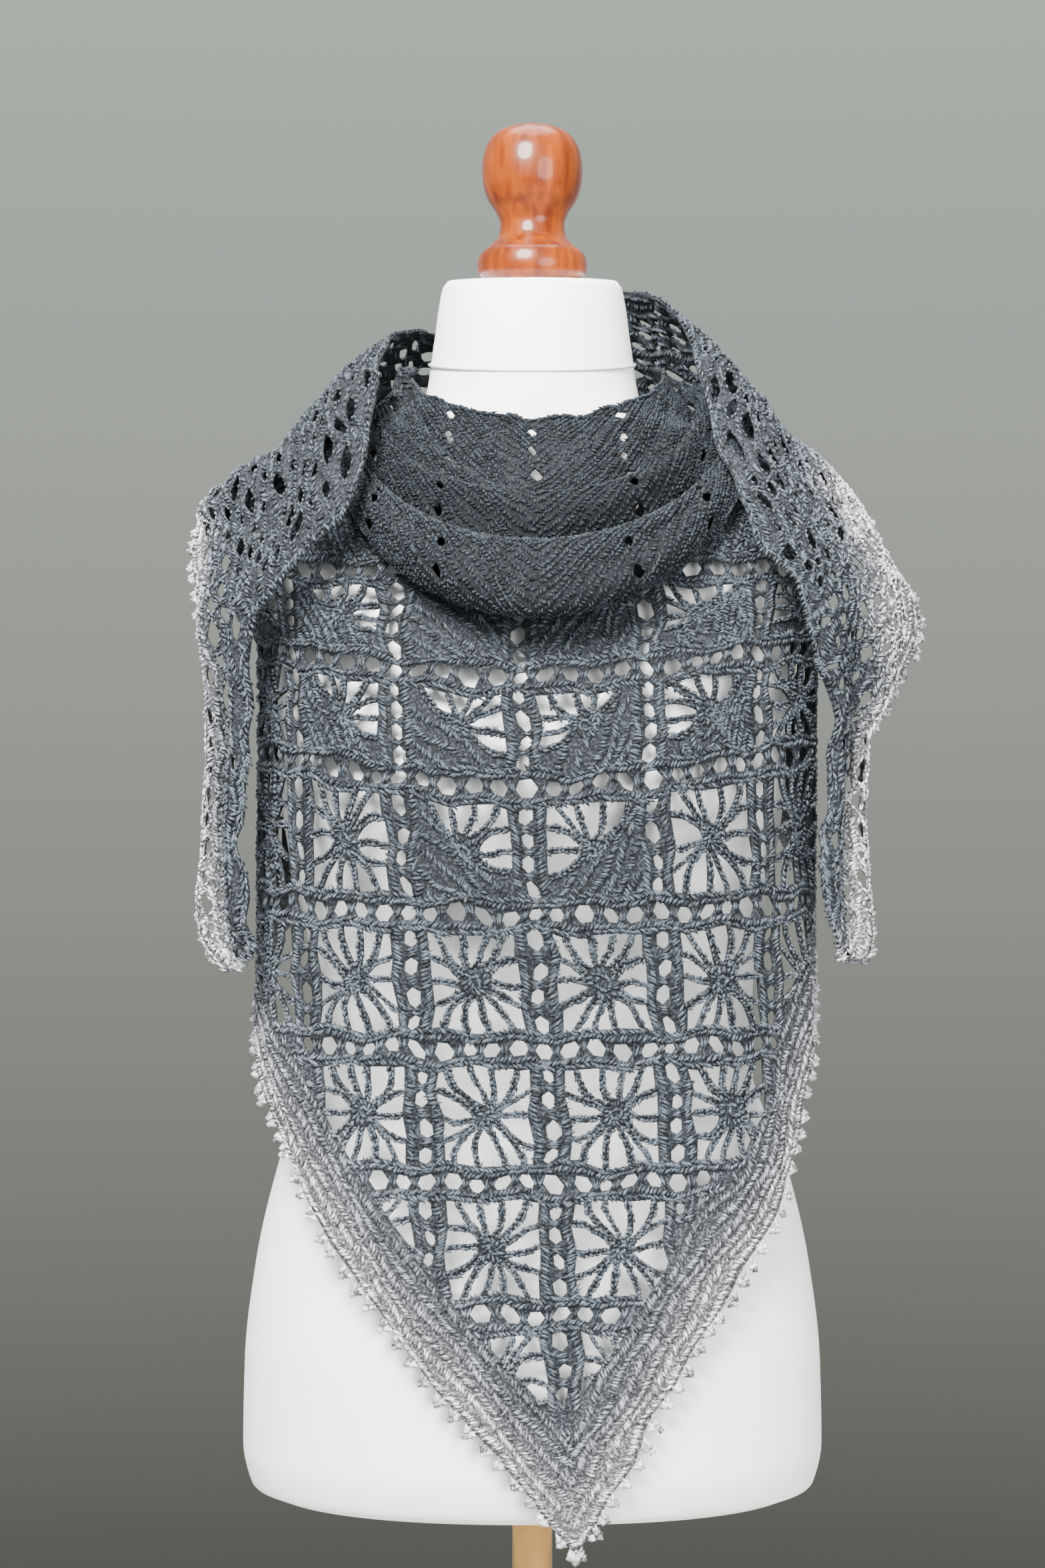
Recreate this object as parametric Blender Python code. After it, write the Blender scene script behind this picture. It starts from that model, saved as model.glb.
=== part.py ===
"""Crochet lace shawl worn on a dress form, its point hanging in front.

The shawl is one large triangle. Its middle falls in a cowl at the throat, its two ends cross
behind the neck and come forward over the shoulders as tails. Metres, +Z up, front towards -Y,
+X towards the right as seen from the front. The origin is under the middle of the stand.
"""

import math

import bmesh
import bpy
import numpy as np
from mathutils import Vector, geometry
from mathutils.bvhtree import BVHTree

# Driving sizes of the cloth
CLOTH = 0.0022
SEAM_GAP = 0.0003
LAYER = 0.0046
CLOSE_LAYER = 0.0034
TIP_Z = 0.2905
PANEL_HALF = 0.27
BORDER = 0.040
PICOT_PITCH = 0.0124
PICOT_REACH = 0.0055
GAP_MARGIN = 0.006
PANEL_TOP_LOW = 0.862
PANEL_TOP_SPREAD = 0.150

# Search round a point for the sheet that it rests on, and how far aside that sheet may lie
REST_REACH = 0.030
REST_BESIDE = 0.004

# Spacing of the points inside each cloth wall, and their clearance from sides in such spacings
PANEL_STEP = (0.030, 0.034)
WING_STEP = (0.028, 0.030)
DRAPE_STEP = (0.0125, 0.022)
FILL_CLEARANCE = 0.55
HOLE_CLEARANCE = 0.7

# The lace: squares divided by bands of eyelets, each square holding a spider web
SQUARE = 0.073
FRAME = 0.0105
HUB = 0.0095
ARM = 0.0042
SMALLEST_GAP = 5.2e-5

# Heights of the eyelet rows between the rows of webs. Webs are whole in the squares nearest the
# shawl's lower edge, then come squares with only the gaps towards the spine, then solid ones.
EYELET_ROWS = (0.3515, 0.4270, 0.5025, 0.5785, 0.6550, 0.7275, 0.7910, 0.8520, 0.9050)
WHOLE_UP_TO = 3
HALF_UP_TO = 5

# The upper rows sag between the shoulders: how far they climb towards the sides, by height
SAG_COLUMNS = ("z", "climb")
SAG = (
    (0.600, 0.000),
    (0.660, 0.006),
    (0.730, 0.025),
    (0.785, 0.024),
    (0.850, 0.008),
    (0.905, 0.000),
)
SAG_SPREAD = 0.140

# Level sections of the dress form
FORM_COLUMNS = ("z", "half", "front", "back", "fullness")
FORM = (
    (0.300, 0.160, 0.100, 0.106, 2.30),
    (0.306, 0.172, 0.112, 0.118, 2.30),
    (0.330, 0.177, 0.118, 0.124, 2.30),
    (0.380, 0.176, 0.118, 0.126, 2.30),
    (0.440, 0.169, 0.112, 0.120, 2.30),
    (0.500, 0.155, 0.100, 0.107, 2.30),
    (0.560, 0.134, 0.089, 0.092, 2.25),
    (0.620, 0.136, 0.092, 0.094, 2.25),
    (0.680, 0.148, 0.108, 0.101, 2.25),
    (0.735, 0.155, 0.122, 0.107, 2.25),
    (0.780, 0.156, 0.115, 0.112, 2.25),
    (0.830, 0.160, 0.097, 0.114, 2.30),
    (0.865, 0.171, 0.081, 0.108, 2.30),
    (0.893, 0.1798, 0.067, 0.095, 2.30),
    (0.913, 0.150, 0.059, 0.082, 2.30),
    (0.933, 0.106, 0.054, 0.070, 2.20),
    (0.950, 0.079, 0.0525, 0.0635, 2.10),
    (0.966, 0.066, 0.0525, 0.0580, 2.00),
    (1.000, 0.0605, 0.0520, 0.0550, 2.00),
    (1.035, 0.0550, 0.0500, 0.0500, 2.00),
    (1.039, 0.0520, 0.0470, 0.0470, 2.00),
)
FORM_SIDES = 36
BUST_Z = 0.735
BUST_X = 0.072
BUST_SWELL = 0.007
BUST_SPREAD = 0.040
NECK_TILT = 0.12
NECK_TILT_FROM = 1.000

# Level sections of the hanging cloth, which falls straight from the bust and shoulders
SHELL_COLUMNS = ("z", "left", "right", "front", "back")
SHELL = (
    (0.270, 0.180, 0.182, 0.1262, 0.133),
    (0.330, 0.183, 0.185, 0.1272, 0.133),
    (0.440, 0.178, 0.181, 0.1290, 0.131),
    (0.500, 0.173, 0.175, 0.1300, 0.126),
    (0.560, 0.170, 0.172, 0.1312, 0.121),
    (0.600, 0.168, 0.172, 0.1322, 0.119),
    (0.650, 0.1655, 0.171, 0.1335, 0.118),
    (0.700, 0.1640, 0.1705, 0.1350, 0.118),
    (0.735, 0.1635, 0.171, 0.1355, 0.118),
    (0.780, 0.1640, 0.172, 0.1290, 0.120),
    (0.830, 0.1690, 0.175, 0.1115, 0.122),
    (0.865, 0.1815, 0.183, 0.0945, 0.119),
    (0.893, 0.1910, 0.191, 0.0800, 0.107),
    (0.913, 0.1710, 0.171, 0.0720, 0.096),
    (0.933, 0.1260, 0.126, 0.0660, 0.083),
    (0.950, 0.0890, 0.089, 0.0630, 0.074),
    (0.966, 0.0735, 0.0735, 0.0590, 0.0650),
    (0.990, 0.0680, 0.0680, 0.0575, 0.0610),
)
SHELL_FULLNESS = 2.28
SHELL_TOP = 0.934
SHOULDER_Z = 0.850

# Where the spine of the shawl lies, from the tip up: it hangs a little askew
SPINE_COLUMNS = ("z", "x")
SPINE = (
    (0.270, 0.0275),
    (0.350, 0.0205),
    (0.430, 0.0155),
    (0.530, 0.0105),
    (0.630, 0.0025),
    (0.730, -0.0045),
    (0.800, -0.0075),
    (0.860, -0.0070),
    (0.946, 0.0000),
)

# Lower edge of the shawl, by cloth length from the spine, round the sides and over the back
EDGE_COLUMNS = ("away", "left_z", "right_z")
EDGE = (
    (0.000, 0.2905, 0.2905),
    (0.050, 0.3560, 0.3650),
    (0.100, 0.4180, 0.4370),
    (0.127, 0.4550, 0.4650),
    (0.150, 0.4880, 0.4940),
    (0.165, 0.5100, 0.5230),
    (0.190, 0.5410, 0.5640),
    (0.240, 0.5920, 0.6300),
    (0.300, 0.6400, 0.6900),
    (0.360, 0.6850, 0.7280),
    (0.480, 0.7500, 0.7750),
    (0.600, 0.8200, 0.8350),
    (0.690, 0.8800, 0.8880),
    (0.760, 0.9150, 0.9150),
)
WING_END = {-1: 0.530, 1: 0.590}
WING_LIFT = 0.0085
WING_LIFT_RUN = 0.090
WING_END_MARGIN = 0.020

# Soft creases of the hanging cloth: a row for each, with its middle, slant, length and depth
CREASE_COLUMNS = ("away", "z", "lean", "length", "width", "depth")
CREASES = (
    (-0.205, 0.720, 0.05, 0.140, 0.012, 0.0040),
    (-0.170, 0.640, 0.16, 0.110, 0.014, 0.0030),
    (-0.105, 0.800, -0.75, 0.060, 0.013, 0.0026),
    (0.120, 0.810, 0.70, 0.060, 0.013, 0.0026),
    (0.205, 0.740, -0.04, 0.130, 0.012, 0.0040),
    (0.185, 0.610, -0.20, 0.100, 0.014, 0.0034),
    (0.030, 0.520, -0.25, 0.120, 0.022, 0.0022),
    (-0.060, 0.470, 0.40, 0.080, 0.020, 0.0022),
    (-0.330, 0.790, 0.60, 0.120, 0.014, 0.0030),
    (0.330, 0.800, -0.60, 0.120, 0.014, 0.0030),
    (-0.420, 0.840, 0.75, 0.110, 0.014, 0.0030),
    (0.420, 0.850, -0.75, 0.110, 0.014, 0.0030),
)

# The cowl's folds, each from its upper lip over its crest to the edge tucked behind the next:
# how far out and how high it lies in front of the neck and beside it
COWL_COLUMNS = ("front_out", "front_z", "side_out", "side_z")
NECK_BAND = (
    (0.0695, 0.9465, 0.0735, 0.9830),
    (0.0770, 0.9340, 0.0755, 0.9790),
    (0.0880, 0.9180, 0.0780, 0.9740),
    (0.0990, 0.9030, 0.0805, 0.9690),
    (0.1065, 0.8920, 0.0840, 0.9650),
    (0.1090, 0.8800, 0.0870, 0.9610),
    (0.1090, 0.8680, 0.0890, 0.9570),
)
COWL_ROLL = (
    (0.1140, 0.8760, 0.0930, 0.9630),
    (0.1155, 0.8850, 0.0940, 0.9680),
    (0.1195, 0.8935, 0.0955, 0.9715),
    (0.1260, 0.8960, 0.0980, 0.9715),
    (0.1315, 0.8890, 0.1010, 0.9675),
    (0.1325, 0.8760, 0.1030, 0.9620),
    (0.1300, 0.8640, 0.1045, 0.9570),
    (0.1275, 0.8530, 0.1050, 0.9540),
)
COWL_DROP = (
    (0.1315, 0.8540, 0.1080, 0.9560),
    (0.1335, 0.8630, 0.1097, 0.9605),
    (0.1380, 0.8680, 0.1127, 0.9630),
    (0.1435, 0.8660, 0.1160, 0.9625),
    (0.1475, 0.8570, 0.1195, 0.9590),
    (0.1485, 0.8440, 0.1220, 0.9545),
    (0.1460, 0.8320, 0.1230, 0.9510),
    (0.1395, 0.8265, 0.1225, 0.9495),
    (0.1310, 0.8290, 0.1200, 0.9490),
    (0.1230, 0.8370, 0.1170, 0.9490),
    (0.1160, 0.8480, 0.1140, 0.9490),
)
COWL_ENVELOPE = (
    (0.0695, 0.9475, 0.0735, 0.9840),
    (0.0960, 0.9160, 0.0860, 0.9750),
    (0.1290, 0.8960, 0.0990, 0.9720),
    (0.1480, 0.8660, 0.1170, 0.9630),
    (0.1490, 0.8400, 0.1235, 0.9530),
    (0.1420, 0.8250, 0.1240, 0.9480),
)
COWL_WIDER_RIGHT = 1.08
COWL_SIDE_Y = -0.006
COWL_TURN = math.radians(112)
COWL_BACK_OUT = 0.72
COWL_BACK_RISE = 0.010

# Ends of the shawl: rows from behind the neck, over the shoulder and down to the tail's tip.
# "in" is the neck side, which is the shawl's long edge, and "out" is the bordered edge.
DRAPE_COLUMNS = ("in_x", "in_y", "in_z", "out_x", "out_y", "out_z", "crown", "fold")
LEFT_DRAPE = (
    (0.0450, 0.0920, 0.9950, -0.0600, 0.1290, 0.7900, 0.004, 0.000),
    (0.0000, 0.0980, 1.0080, -0.1140, 0.1180, 0.8240, 0.004, 0.000),
    (-0.0460, 0.0900, 1.0200, -0.1540, 0.0960, 0.8600, 0.004, 0.001),
    (-0.0720, 0.0560, 1.0170, -0.1820, 0.0700, 0.8800, 0.005, 0.002),
    (-0.0860, 0.0150, 1.0080, -0.1980, 0.0400, 0.8930, 0.006, 0.003),
    (-0.0900, -0.0350, 0.9860, -0.2030, 0.0050, 0.8900, 0.006, 0.003),
    (-0.0930, -0.0800, 0.9480, -0.2050, -0.0180, 0.8780, 0.008, 0.003),
    (-0.1000, -0.1020, 0.9080, -0.2035, -0.0320, 0.8600, 0.010, 0.003),
    (-0.1200, -0.1110, 0.8740, -0.2005, -0.0430, 0.8420, 0.010, 0.003),
    (-0.1440, -0.1080, 0.8480, -0.1985, -0.0530, 0.8250, 0.009, 0.004),
    (-0.1620, -0.0980, 0.8260, -0.1935, -0.0620, 0.8050, 0.006, 0.005),
    (-0.1660, -0.0890, 0.7570, -0.1905, -0.0660, 0.7600, 0.003, 0.0055),
    (-0.1695, -0.0870, 0.6960, -0.1935, -0.0660, 0.6960, 0.002, 0.0055),
    (-0.1665, -0.0870, 0.6510, -0.1975, -0.0660, 0.6600, 0.002, 0.0055),
    (-0.1650, -0.0840, 0.6330, -0.1945, -0.0680, 0.6400, 0.002, 0.0040),
    (-0.1710, -0.0800, 0.6195, -0.1830, -0.0720, 0.6195, 0.001, 0.0010),
)
RIGHT_DRAPE = (
    (-0.0620, 0.1020, 1.0080, -0.0250, 0.1300, 0.9200, 0.003, 0.000),
    (-0.0100, 0.1040, 1.0340, 0.0450, 0.1240, 0.9130, 0.004, 0.000),
    (0.0450, 0.0800, 1.0450, 0.1180, 0.1060, 0.9060, 0.004, 0.001),
    (0.0700, 0.0480, 1.0400, 0.1620, 0.0830, 0.9030, 0.005, 0.002),
    (0.0900, 0.0120, 1.0180, 0.1960, 0.0420, 0.9030, 0.006, 0.003),
    (0.1010, -0.0300, 0.9760, 0.2040, 0.0050, 0.8960, 0.008, 0.003),
    (0.1090, -0.0580, 0.9350, 0.2085, -0.0130, 0.8820, 0.012, 0.003),
    (0.1146, -0.0780, 0.9120, 0.2140, -0.0220, 0.8680, 0.014, 0.003),
    (0.1236, -0.0900, 0.8890, 0.2240, -0.0280, 0.8500, 0.014, 0.003),
    (0.1305, -0.0970, 0.8700, 0.2325, -0.0340, 0.8340, 0.014, 0.003),
    (0.1462, -0.0980, 0.8532, 0.2300, -0.0400, 0.8120, 0.012, 0.003),
    (0.1580, -0.0950, 0.8320, 0.2200, -0.0460, 0.7950, 0.010, 0.004),
    (0.1665, -0.0890, 0.8047, 0.2090, -0.0520, 0.7720, 0.006, 0.005),
    (0.1745, -0.0830, 0.7670, 0.1965, -0.0600, 0.7520, 0.003, 0.0055),
    (0.1715, -0.0820, 0.7150, 0.1955, -0.0600, 0.7165, 0.002, 0.0055),
    (0.1680, -0.0820, 0.6770, 0.1985, -0.0600, 0.6720, 0.002, 0.0055),
    (0.1735, -0.0810, 0.6450, 0.2010, -0.0620, 0.6400, 0.002, 0.0040),
    (0.1850, -0.0770, 0.6240, 0.1980, -0.0690, 0.6220, 0.001, 0.0010),
)
DRAPE_WAVES = 1.5
DRAPE_WIDTH = 0.100
DRAPE_LENGTH = 0.620

# Squeezed gaps of the shawl ends: staggered rows of slim lozenges, two to a row
DRAPE_GAP_ROWS = 9
DRAPE_GAP_START = 0.124
DRAPE_GAP_PITCH = 0.026
DRAPE_GAP_STAGGER = 0.012
DRAPE_GAP_ACROSS = (0.030, 0.056)
DRAPE_GAP_HALF = (0.0042, 0.0068)

# Turned and straight pieces of the stand
FINIAL_COLUMNS = ("radius", "above")
FINIAL = (
    (0.0280, 0.0000),
    (0.0325, 0.0035),
    (0.0338, 0.0090),
    (0.0325, 0.0150),
    (0.0265, 0.0205),
    (0.0208, 0.0270),
    (0.0198, 0.0340),
    (0.0222, 0.0415),
    (0.0275, 0.0500),
    (0.0303, 0.0590),
    (0.0310, 0.0680),
    (0.0300, 0.0770),
    (0.0262, 0.0860),
    (0.0190, 0.0920),
    (0.0095, 0.0950),
)
FINIAL_Z = 1.0397
FINIAL_SIDES = 24
POLE_RADIUS = 0.0122
POLE_SIDES = 24
BASE_COLUMNS = ("radius", "above")
BASE = (
    (0.1480, 0.0000),
    (0.1500, 0.0030),
    (0.1480, 0.0080),
    (0.1200, 0.0150),
    (0.0500, 0.0210),
    (0.0240, 0.0260),
    (0.0200, 0.0380),
)
BASE_SIDES = 40

# Colours
DARK_YARN = (0.085, 0.100, 0.125, 1.0)
MID_YARN = (0.180, 0.195, 0.220, 1.0)
PALE_YARN = (0.440, 0.430, 0.460, 1.0)
LINEN = (0.860, 0.860, 0.835, 1.0)
WOOD = (0.420, 0.150, 0.040, 1.0)
BRASS = (0.640, 0.420, 0.160, 1.0)


def column(table, names, name):
    """One named column of a table, as an array."""
    return np.array([row[names.index(name)] for row in table], float)


def flow(at, knots, values):
    """A smooth curve through a table's values that never overshoots them."""
    at = np.clip(at, knots[0], knots[-1])
    gap = np.diff(knots)
    rise = np.diff(values) / gap
    slope = np.zeros(len(values))
    product = rise[1:] * rise[:-1]
    total = np.where(np.abs(rise[1:] + rise[:-1]) < 1e-12, 1.0, rise[1:] + rise[:-1])
    slope[1:-1] = np.where(product > 0, 2 * product / total, 0.0)
    slope[0], slope[-1] = rise[0], rise[-1]
    low = np.clip(np.searchsorted(knots, at, side="right") - 1, 0, len(knots) - 2)
    t = (at - knots[low]) / gap[low]
    start = values[low] * (2 * t**3 - 3 * t**2 + 1) + values[low + 1] * (3 * t**2 - 2 * t**3)
    bend = slope[low] * (t**3 - 2 * t**2 + t) + slope[low + 1] * (t**3 - t**2)
    return start + gap[low] * bend


def flow_rows(at, table):
    """A smooth path through a table's rows, one row for each whole number."""
    rows = np.array(table, float)
    knots = np.arange(len(rows), dtype=float)
    return np.stack([flow(at, knots, rows[:, i]) for i in range(rows.shape[1])], axis=-1)


def oval(angle, left, right, front, back, fullness):
    """A full oval whose four half-axes differ. The angle is 0 in front and grows to the right."""
    across, along = np.sin(angle), -np.cos(angle)
    power = 2.0 / fullness
    x = np.sign(across) * np.abs(across) ** power * np.where(across < 0, left, right)
    y = np.sign(along) * np.abs(along) ** power * np.where(along < 0, front, back)
    return x, y


def form_ring(z):
    """The dress form's level section at one height, as rows of points."""
    knots = column(FORM, FORM_COLUMNS, "z")
    half, front, back, fullness = (
        flow(z, knots, column(FORM, FORM_COLUMNS, name)) for name in FORM_COLUMNS[1:]
    )
    angle = np.linspace(0, 2 * math.pi, FORM_SIDES, endpoint=False)
    x, y = oval(angle, half, half, front, back, fullness)
    swell = np.exp(-(((z - BUST_Z) / BUST_SPREAD) ** 2))
    swell = swell * np.exp(-(((np.abs(x) - BUST_X) / BUST_SPREAD) ** 2))
    y = np.where(y < 0, y - BUST_SWELL * swell, y)
    tilt = NECK_TILT * max(0.0, z - NECK_TILT_FROM) / (knots[-1] - NECK_TILT_FROM)
    return np.stack([x, y, z + tilt * y], axis=-1)


def crease_depth(away, z):
    """How far the cloth stands out at a point: the sum of soft ridges, each longer than wide."""
    depth = np.zeros_like(away)
    for middle, height, lean, length, width, most in CREASES:
        side = (away - middle) - lean * (z - height)
        along = (z - height) / length
        depth = depth + most * np.exp(-((side / width) ** 2) - along**2 * 2)
    return depth


class Shell:
    """The cloth that hangs round the form, as a surface over (cloth length from the spine, height).

    Each level section is an oval measured along its own length, from the spine to either side.
    Above the shoulders the sections shrink, and the lengths with them.
    """

    reach = 0.80
    columns = 641
    rows = 281

    def __init__(self, lift_side=0):
        self.away = np.linspace(-self.reach, self.reach, self.columns)
        self.heights = np.linspace(SHELL[0][0], SHELL[-1][0], self.rows)
        knots = column(SHELL, SHELL_COLUMNS, "z")
        angle = np.linspace(-2 * math.pi, 2 * math.pi, 1441)
        points, shoulder_girth = [], 0.0
        for z in self.heights:
            left, right, front, back = (
                flow(z, knots, column(SHELL, SHELL_COLUMNS, name)) for name in SHELL_COLUMNS[1:]
            )
            x, y = oval(angle, left, right, front, back, SHELL_FULLNESS)
            along = np.concatenate([[0.0], np.cumsum(np.hypot(np.diff(x), np.diff(y)))])
            spine = flow(z, column(SPINE, SPINE_COLUMNS, "z"), column(SPINE, SPINE_COLUMNS, "x"))
            front_half = np.abs(angle) < math.pi / 2
            start = np.interp(spine, x[front_half], along[front_half])
            girth = along[-1] / 2
            shoulder_girth = girth if z < SHOULDER_Z else shoulder_girth
            place = start + self.away * min(1.0, girth / shoulder_girth)
            points.append(np.stack([np.interp(place, along, x), np.interp(place, along, y)], -1))
        flat = np.array(points)
        z = np.repeat(self.heights[:, None], self.columns, axis=1)
        self.points = np.concatenate([flat, z[..., None]], axis=2)
        away = np.repeat(self.away[None, :], self.rows, axis=0)
        lift = crease_depth(away, z)
        if lift_side:
            onset = np.clip((away * lift_side - PANEL_HALF) / WING_LIFT_RUN, 0, 1)
            lift = lift + WING_LIFT * onset * onset * (3 - 2 * onset)
        self.points = self.points + self.grid_normals() * lift[..., None]
        self.normals = self.grid_normals()

    def grid_normals(self):
        """Outward unit normals of the grid of points."""
        by_height, by_length = np.gradient(self.points, axis=(0, 1))
        normal = np.cross(by_length, by_height)
        return normal / np.linalg.norm(normal, axis=2, keepdims=True)

    def __call__(self, chart):
        """Points and outward normals at rows of (length from the spine, height)."""
        chart = np.asarray(chart, float)
        i = (chart[:, 1] - self.heights[0]) / (self.heights[1] - self.heights[0])
        j = (chart[:, 0] - self.away[0]) / (self.away[1] - self.away[0])
        return blend_grid(self.points, i, j), unit(blend_grid(self.normals, i, j))


def blend_grid(grid, i, j):
    """Values of a grid at fractional rows i and columns j, blended from the four around them."""
    i = np.clip(i, 0, grid.shape[0] - 1.001)
    j = np.clip(j, 0, grid.shape[1] - 1.001)
    low_i, low_j = i.astype(int), j.astype(int)
    a, b = (i - low_i)[:, None], (j - low_j)[:, None]
    near = grid[low_i, low_j] * (1 - b) + grid[low_i, low_j + 1] * b
    far = grid[low_i + 1, low_j] * (1 - b) + grid[low_i + 1, low_j + 1] * b
    return near * (1 - a) + far * a


def unit(vectors):
    """The vectors at length one."""
    return vectors / np.maximum(np.linalg.norm(vectors, axis=-1, keepdims=True), 1e-12)


def sheet_tree(points, every=1):
    """A search tree over a grid of points, its faces looking the way the grid turns."""
    grid = points[::every, ::every]
    rows, columns = grid.shape[:2]
    index = np.arange(rows * columns).reshape(rows, columns)
    faces = np.stack([index[:-1, :-1], index[:-1, 1:], index[1:, 1:], index[1:, :-1]], axis=-1)
    return BVHTree.FromPolygons(grid.reshape(-1, 3).tolist(), faces.reshape(-1, 4).tolist())


def rest_on(points, tree, gap):
    """Moves points of a sheet out until each is at least a gap in front of the one beneath it."""
    flat = points.reshape(-1, 3).copy()
    for i, point in enumerate(flat):
        hit, facing, _, _ = tree.find_nearest(Vector(point), REST_REACH)
        if hit is None:
            continue
        above = (Vector(point) - hit).dot(facing)
        beside = (Vector(point) - hit - above * facing).length
        if above < gap and beside < REST_BESIDE:
            flat[i] = np.array(Vector(point) + facing * (gap - above))
    return flat.reshape(points.shape)


def softened(points):
    """A grid of points with small kinks smoothed out, its border left where it is."""
    soft = points.copy()
    around = points[:-2, 1:-1] + points[2:, 1:-1] + points[1:-1, :-2] + points[1:-1, 2:]
    soft[1:-1, 1:-1] = points[1:-1, 1:-1] * 0.5 + around * 0.125
    return soft


class Patch:
    """A surface over (across, along) in 0..1, from a function that gives its points.

    It rests on the sheets whose trees it is given, each with the gap to keep from it.
    """

    def __init__(self, place, across=97, along=241, flip=False, under=()):
        s, t = np.meshgrid(np.linspace(0, 1, across), np.linspace(0, 1, along), indexing="ij")
        self.points = place(s.ravel(), t.ravel()).reshape(across, along, 3)
        for _ in range(3 if under else 0):
            for tree, gap in under:
                self.points = rest_on(self.points, tree, gap)
            self.points = softened(self.points)
        for tree, gap in under:
            self.points = rest_on(self.points, tree, gap)
        by_across, by_along = np.gradient(self.points, axis=(0, 1))
        normal = np.cross(by_across, by_along)
        self.normals = unit(-normal if flip else normal)
        self.flip = flip

    def tree(self):
        """A search tree over the patch, facing outward."""
        return sheet_tree(self.points if self.flip else self.points[::-1])

    def __call__(self, chart):
        """Points and outward normals at rows of (across, along)."""
        chart = np.asarray(chart, float)
        i = chart[:, 0] * (self.points.shape[0] - 1)
        j = chart[:, 1] * (self.points.shape[1] - 1)
        return blend_grid(self.points, i, j), unit(blend_grid(self.normals, i, j))


def drape_place(table):
    """The surface of one shawl end: straight from neck edge to bordered edge, crowned and waved."""

    def place(s, t):
        rows = flow_rows(t * (len(table) - 1), table)
        ahead = flow_rows(np.minimum(t + 0.01, 1) * (len(table) - 1), table)
        behind = flow_rows(np.maximum(t - 0.01, 0) * (len(table) - 1), table)
        inner, outer = rows[:, 0:3], rows[:, 3:6]
        heading = (ahead[:, 0:3] + ahead[:, 3:6]) - (behind[:, 0:3] + behind[:, 3:6])
        out = unit(np.cross(outer - inner, heading))
        out = out * np.where(table[5][0] < 0, 1.0, -1.0)
        rise = rows[:, 6] * 4 * s * (1 - s)
        wave = rows[:, 7] * np.sin(2 * math.pi * DRAPE_WAVES * s)
        return inner + (outer - inner) * s[:, None] + out * (rise + wave)[:, None]

    return place


def cowl_place(table, smooth=True):
    """A fold of the cowl: its profile sweeps round the neck, lowest in front."""

    def place(s, t):
        at = s * (len(table) - 1)
        if smooth:
            profile = flow_rows(at, table)
        else:
            rows = np.arange(len(table))
            profile = np.stack([np.interp(at, rows, c) for c in np.array(table).T], axis=-1)
        turn = (t * 2 - 1) * COWL_TURN
        side = np.abs(np.sin(turn))
        front = np.clip(np.cos(turn), 0, 1)
        behind = np.clip(-np.cos(turn), 0, 1)
        x = np.where(turn < 0, -1.0, COWL_WIDER_RIGHT) * profile[:, 2] * side
        y = COWL_SIDE_Y - (profile[:, 0] + COWL_SIDE_Y) * front
        y = y + profile[:, 2] * COWL_BACK_OUT * behind
        z = profile[:, 1] * front + profile[:, 3] * (1 - front) + COWL_BACK_RISE * behind
        return np.stack([x, y, z], axis=-1)

    return place


def edge_height(away):
    """Height of the shawl's lower edge at a signed cloth length from the spine."""
    knots = column(EDGE, EDGE_COLUMNS, "away")
    left = flow(np.abs(away), knots, column(EDGE, EDGE_COLUMNS, "left_z"))
    right = flow(np.abs(away), knots, column(EDGE, EDGE_COLUMNS, "right_z"))
    return np.where(np.asarray(away) < 0, left, right)


def sagged(away, z):
    """Height of a lace row at a cloth length from the spine: lowest at the spine."""
    climb = flow(z, column(SAG, SAG_COLUMNS, "z"), column(SAG, SAG_COLUMNS, "climb"))
    return z + climb * (1 - np.exp(-((away / SAG_SPREAD) ** 2)))


def picot_line(path):
    """A fine line of points made into even scallops, base then tip, to the right of its heading."""
    path = np.asarray(path, float)
    steps = np.linalg.norm(np.diff(path, axis=0), axis=1)
    along = np.concatenate([[0.0], np.cumsum(steps)])
    count = 2 * max(1, round(along[-1] / PICOT_PITCH))
    at = np.linspace(0, along[-1], count + 1)
    points = np.stack([np.interp(at, along, path[:, i]) for i in (0, 1)], axis=-1)
    heading = unit(np.gradient(points, axis=0))
    out = np.stack([heading[:, 1], -heading[:, 0]], axis=-1)
    tips = np.arange(count + 1) % 2 == 1
    return points + out * np.where(tips, PICOT_REACH, 0.0)[:, None]


def inside(points, polygon):
    """Which points lie in a polygon, by counting the sides that a level ray crosses."""
    polygon = np.asarray(polygon, float)
    x, y = points[:, 0][:, None], points[:, 1][:, None]
    ax, ay = polygon[:, 0][None, :], polygon[:, 1][None, :]
    bx, by = np.roll(polygon[:, 0], -1)[None, :], np.roll(polygon[:, 1], -1)[None, :]
    crosses = (ay > y) != (by > y)
    run = np.where(np.abs(by - ay) < 1e-15, 1e-15, by - ay)
    left_of = x < (bx - ax) * (y - ay) / run + ax
    return (crosses & left_of).sum(axis=1) % 2 == 1


def nearest(points, others):
    """Distance from each point to the nearest of the others."""
    gaps = points[:, None, :] - np.asarray(others, float)[None, :, :]
    return np.sqrt((gaps**2).sum(axis=2)).min(axis=1)


def area(polygon):
    """Area of a polygon."""
    x, y = np.asarray(polygon, float).T
    return abs(np.dot(x, np.roll(y, -1)) - np.dot(y, np.roll(x, -1))) / 2


def cut_polygon(polygon, keep):
    """The part of a polygon where keep(point) is positive, cut along straight lines."""
    result = []
    for here, there in zip(polygon, polygon[1:] + polygon[:1]):
        a, b = keep(here), keep(there)
        if a > 0:
            result.append(here)
        if (a > 0) != (b > 0):
            share = a / (a - b)
            result.append(tuple(h + (t - h) * share for h, t in zip(here, there)))
    return result


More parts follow.
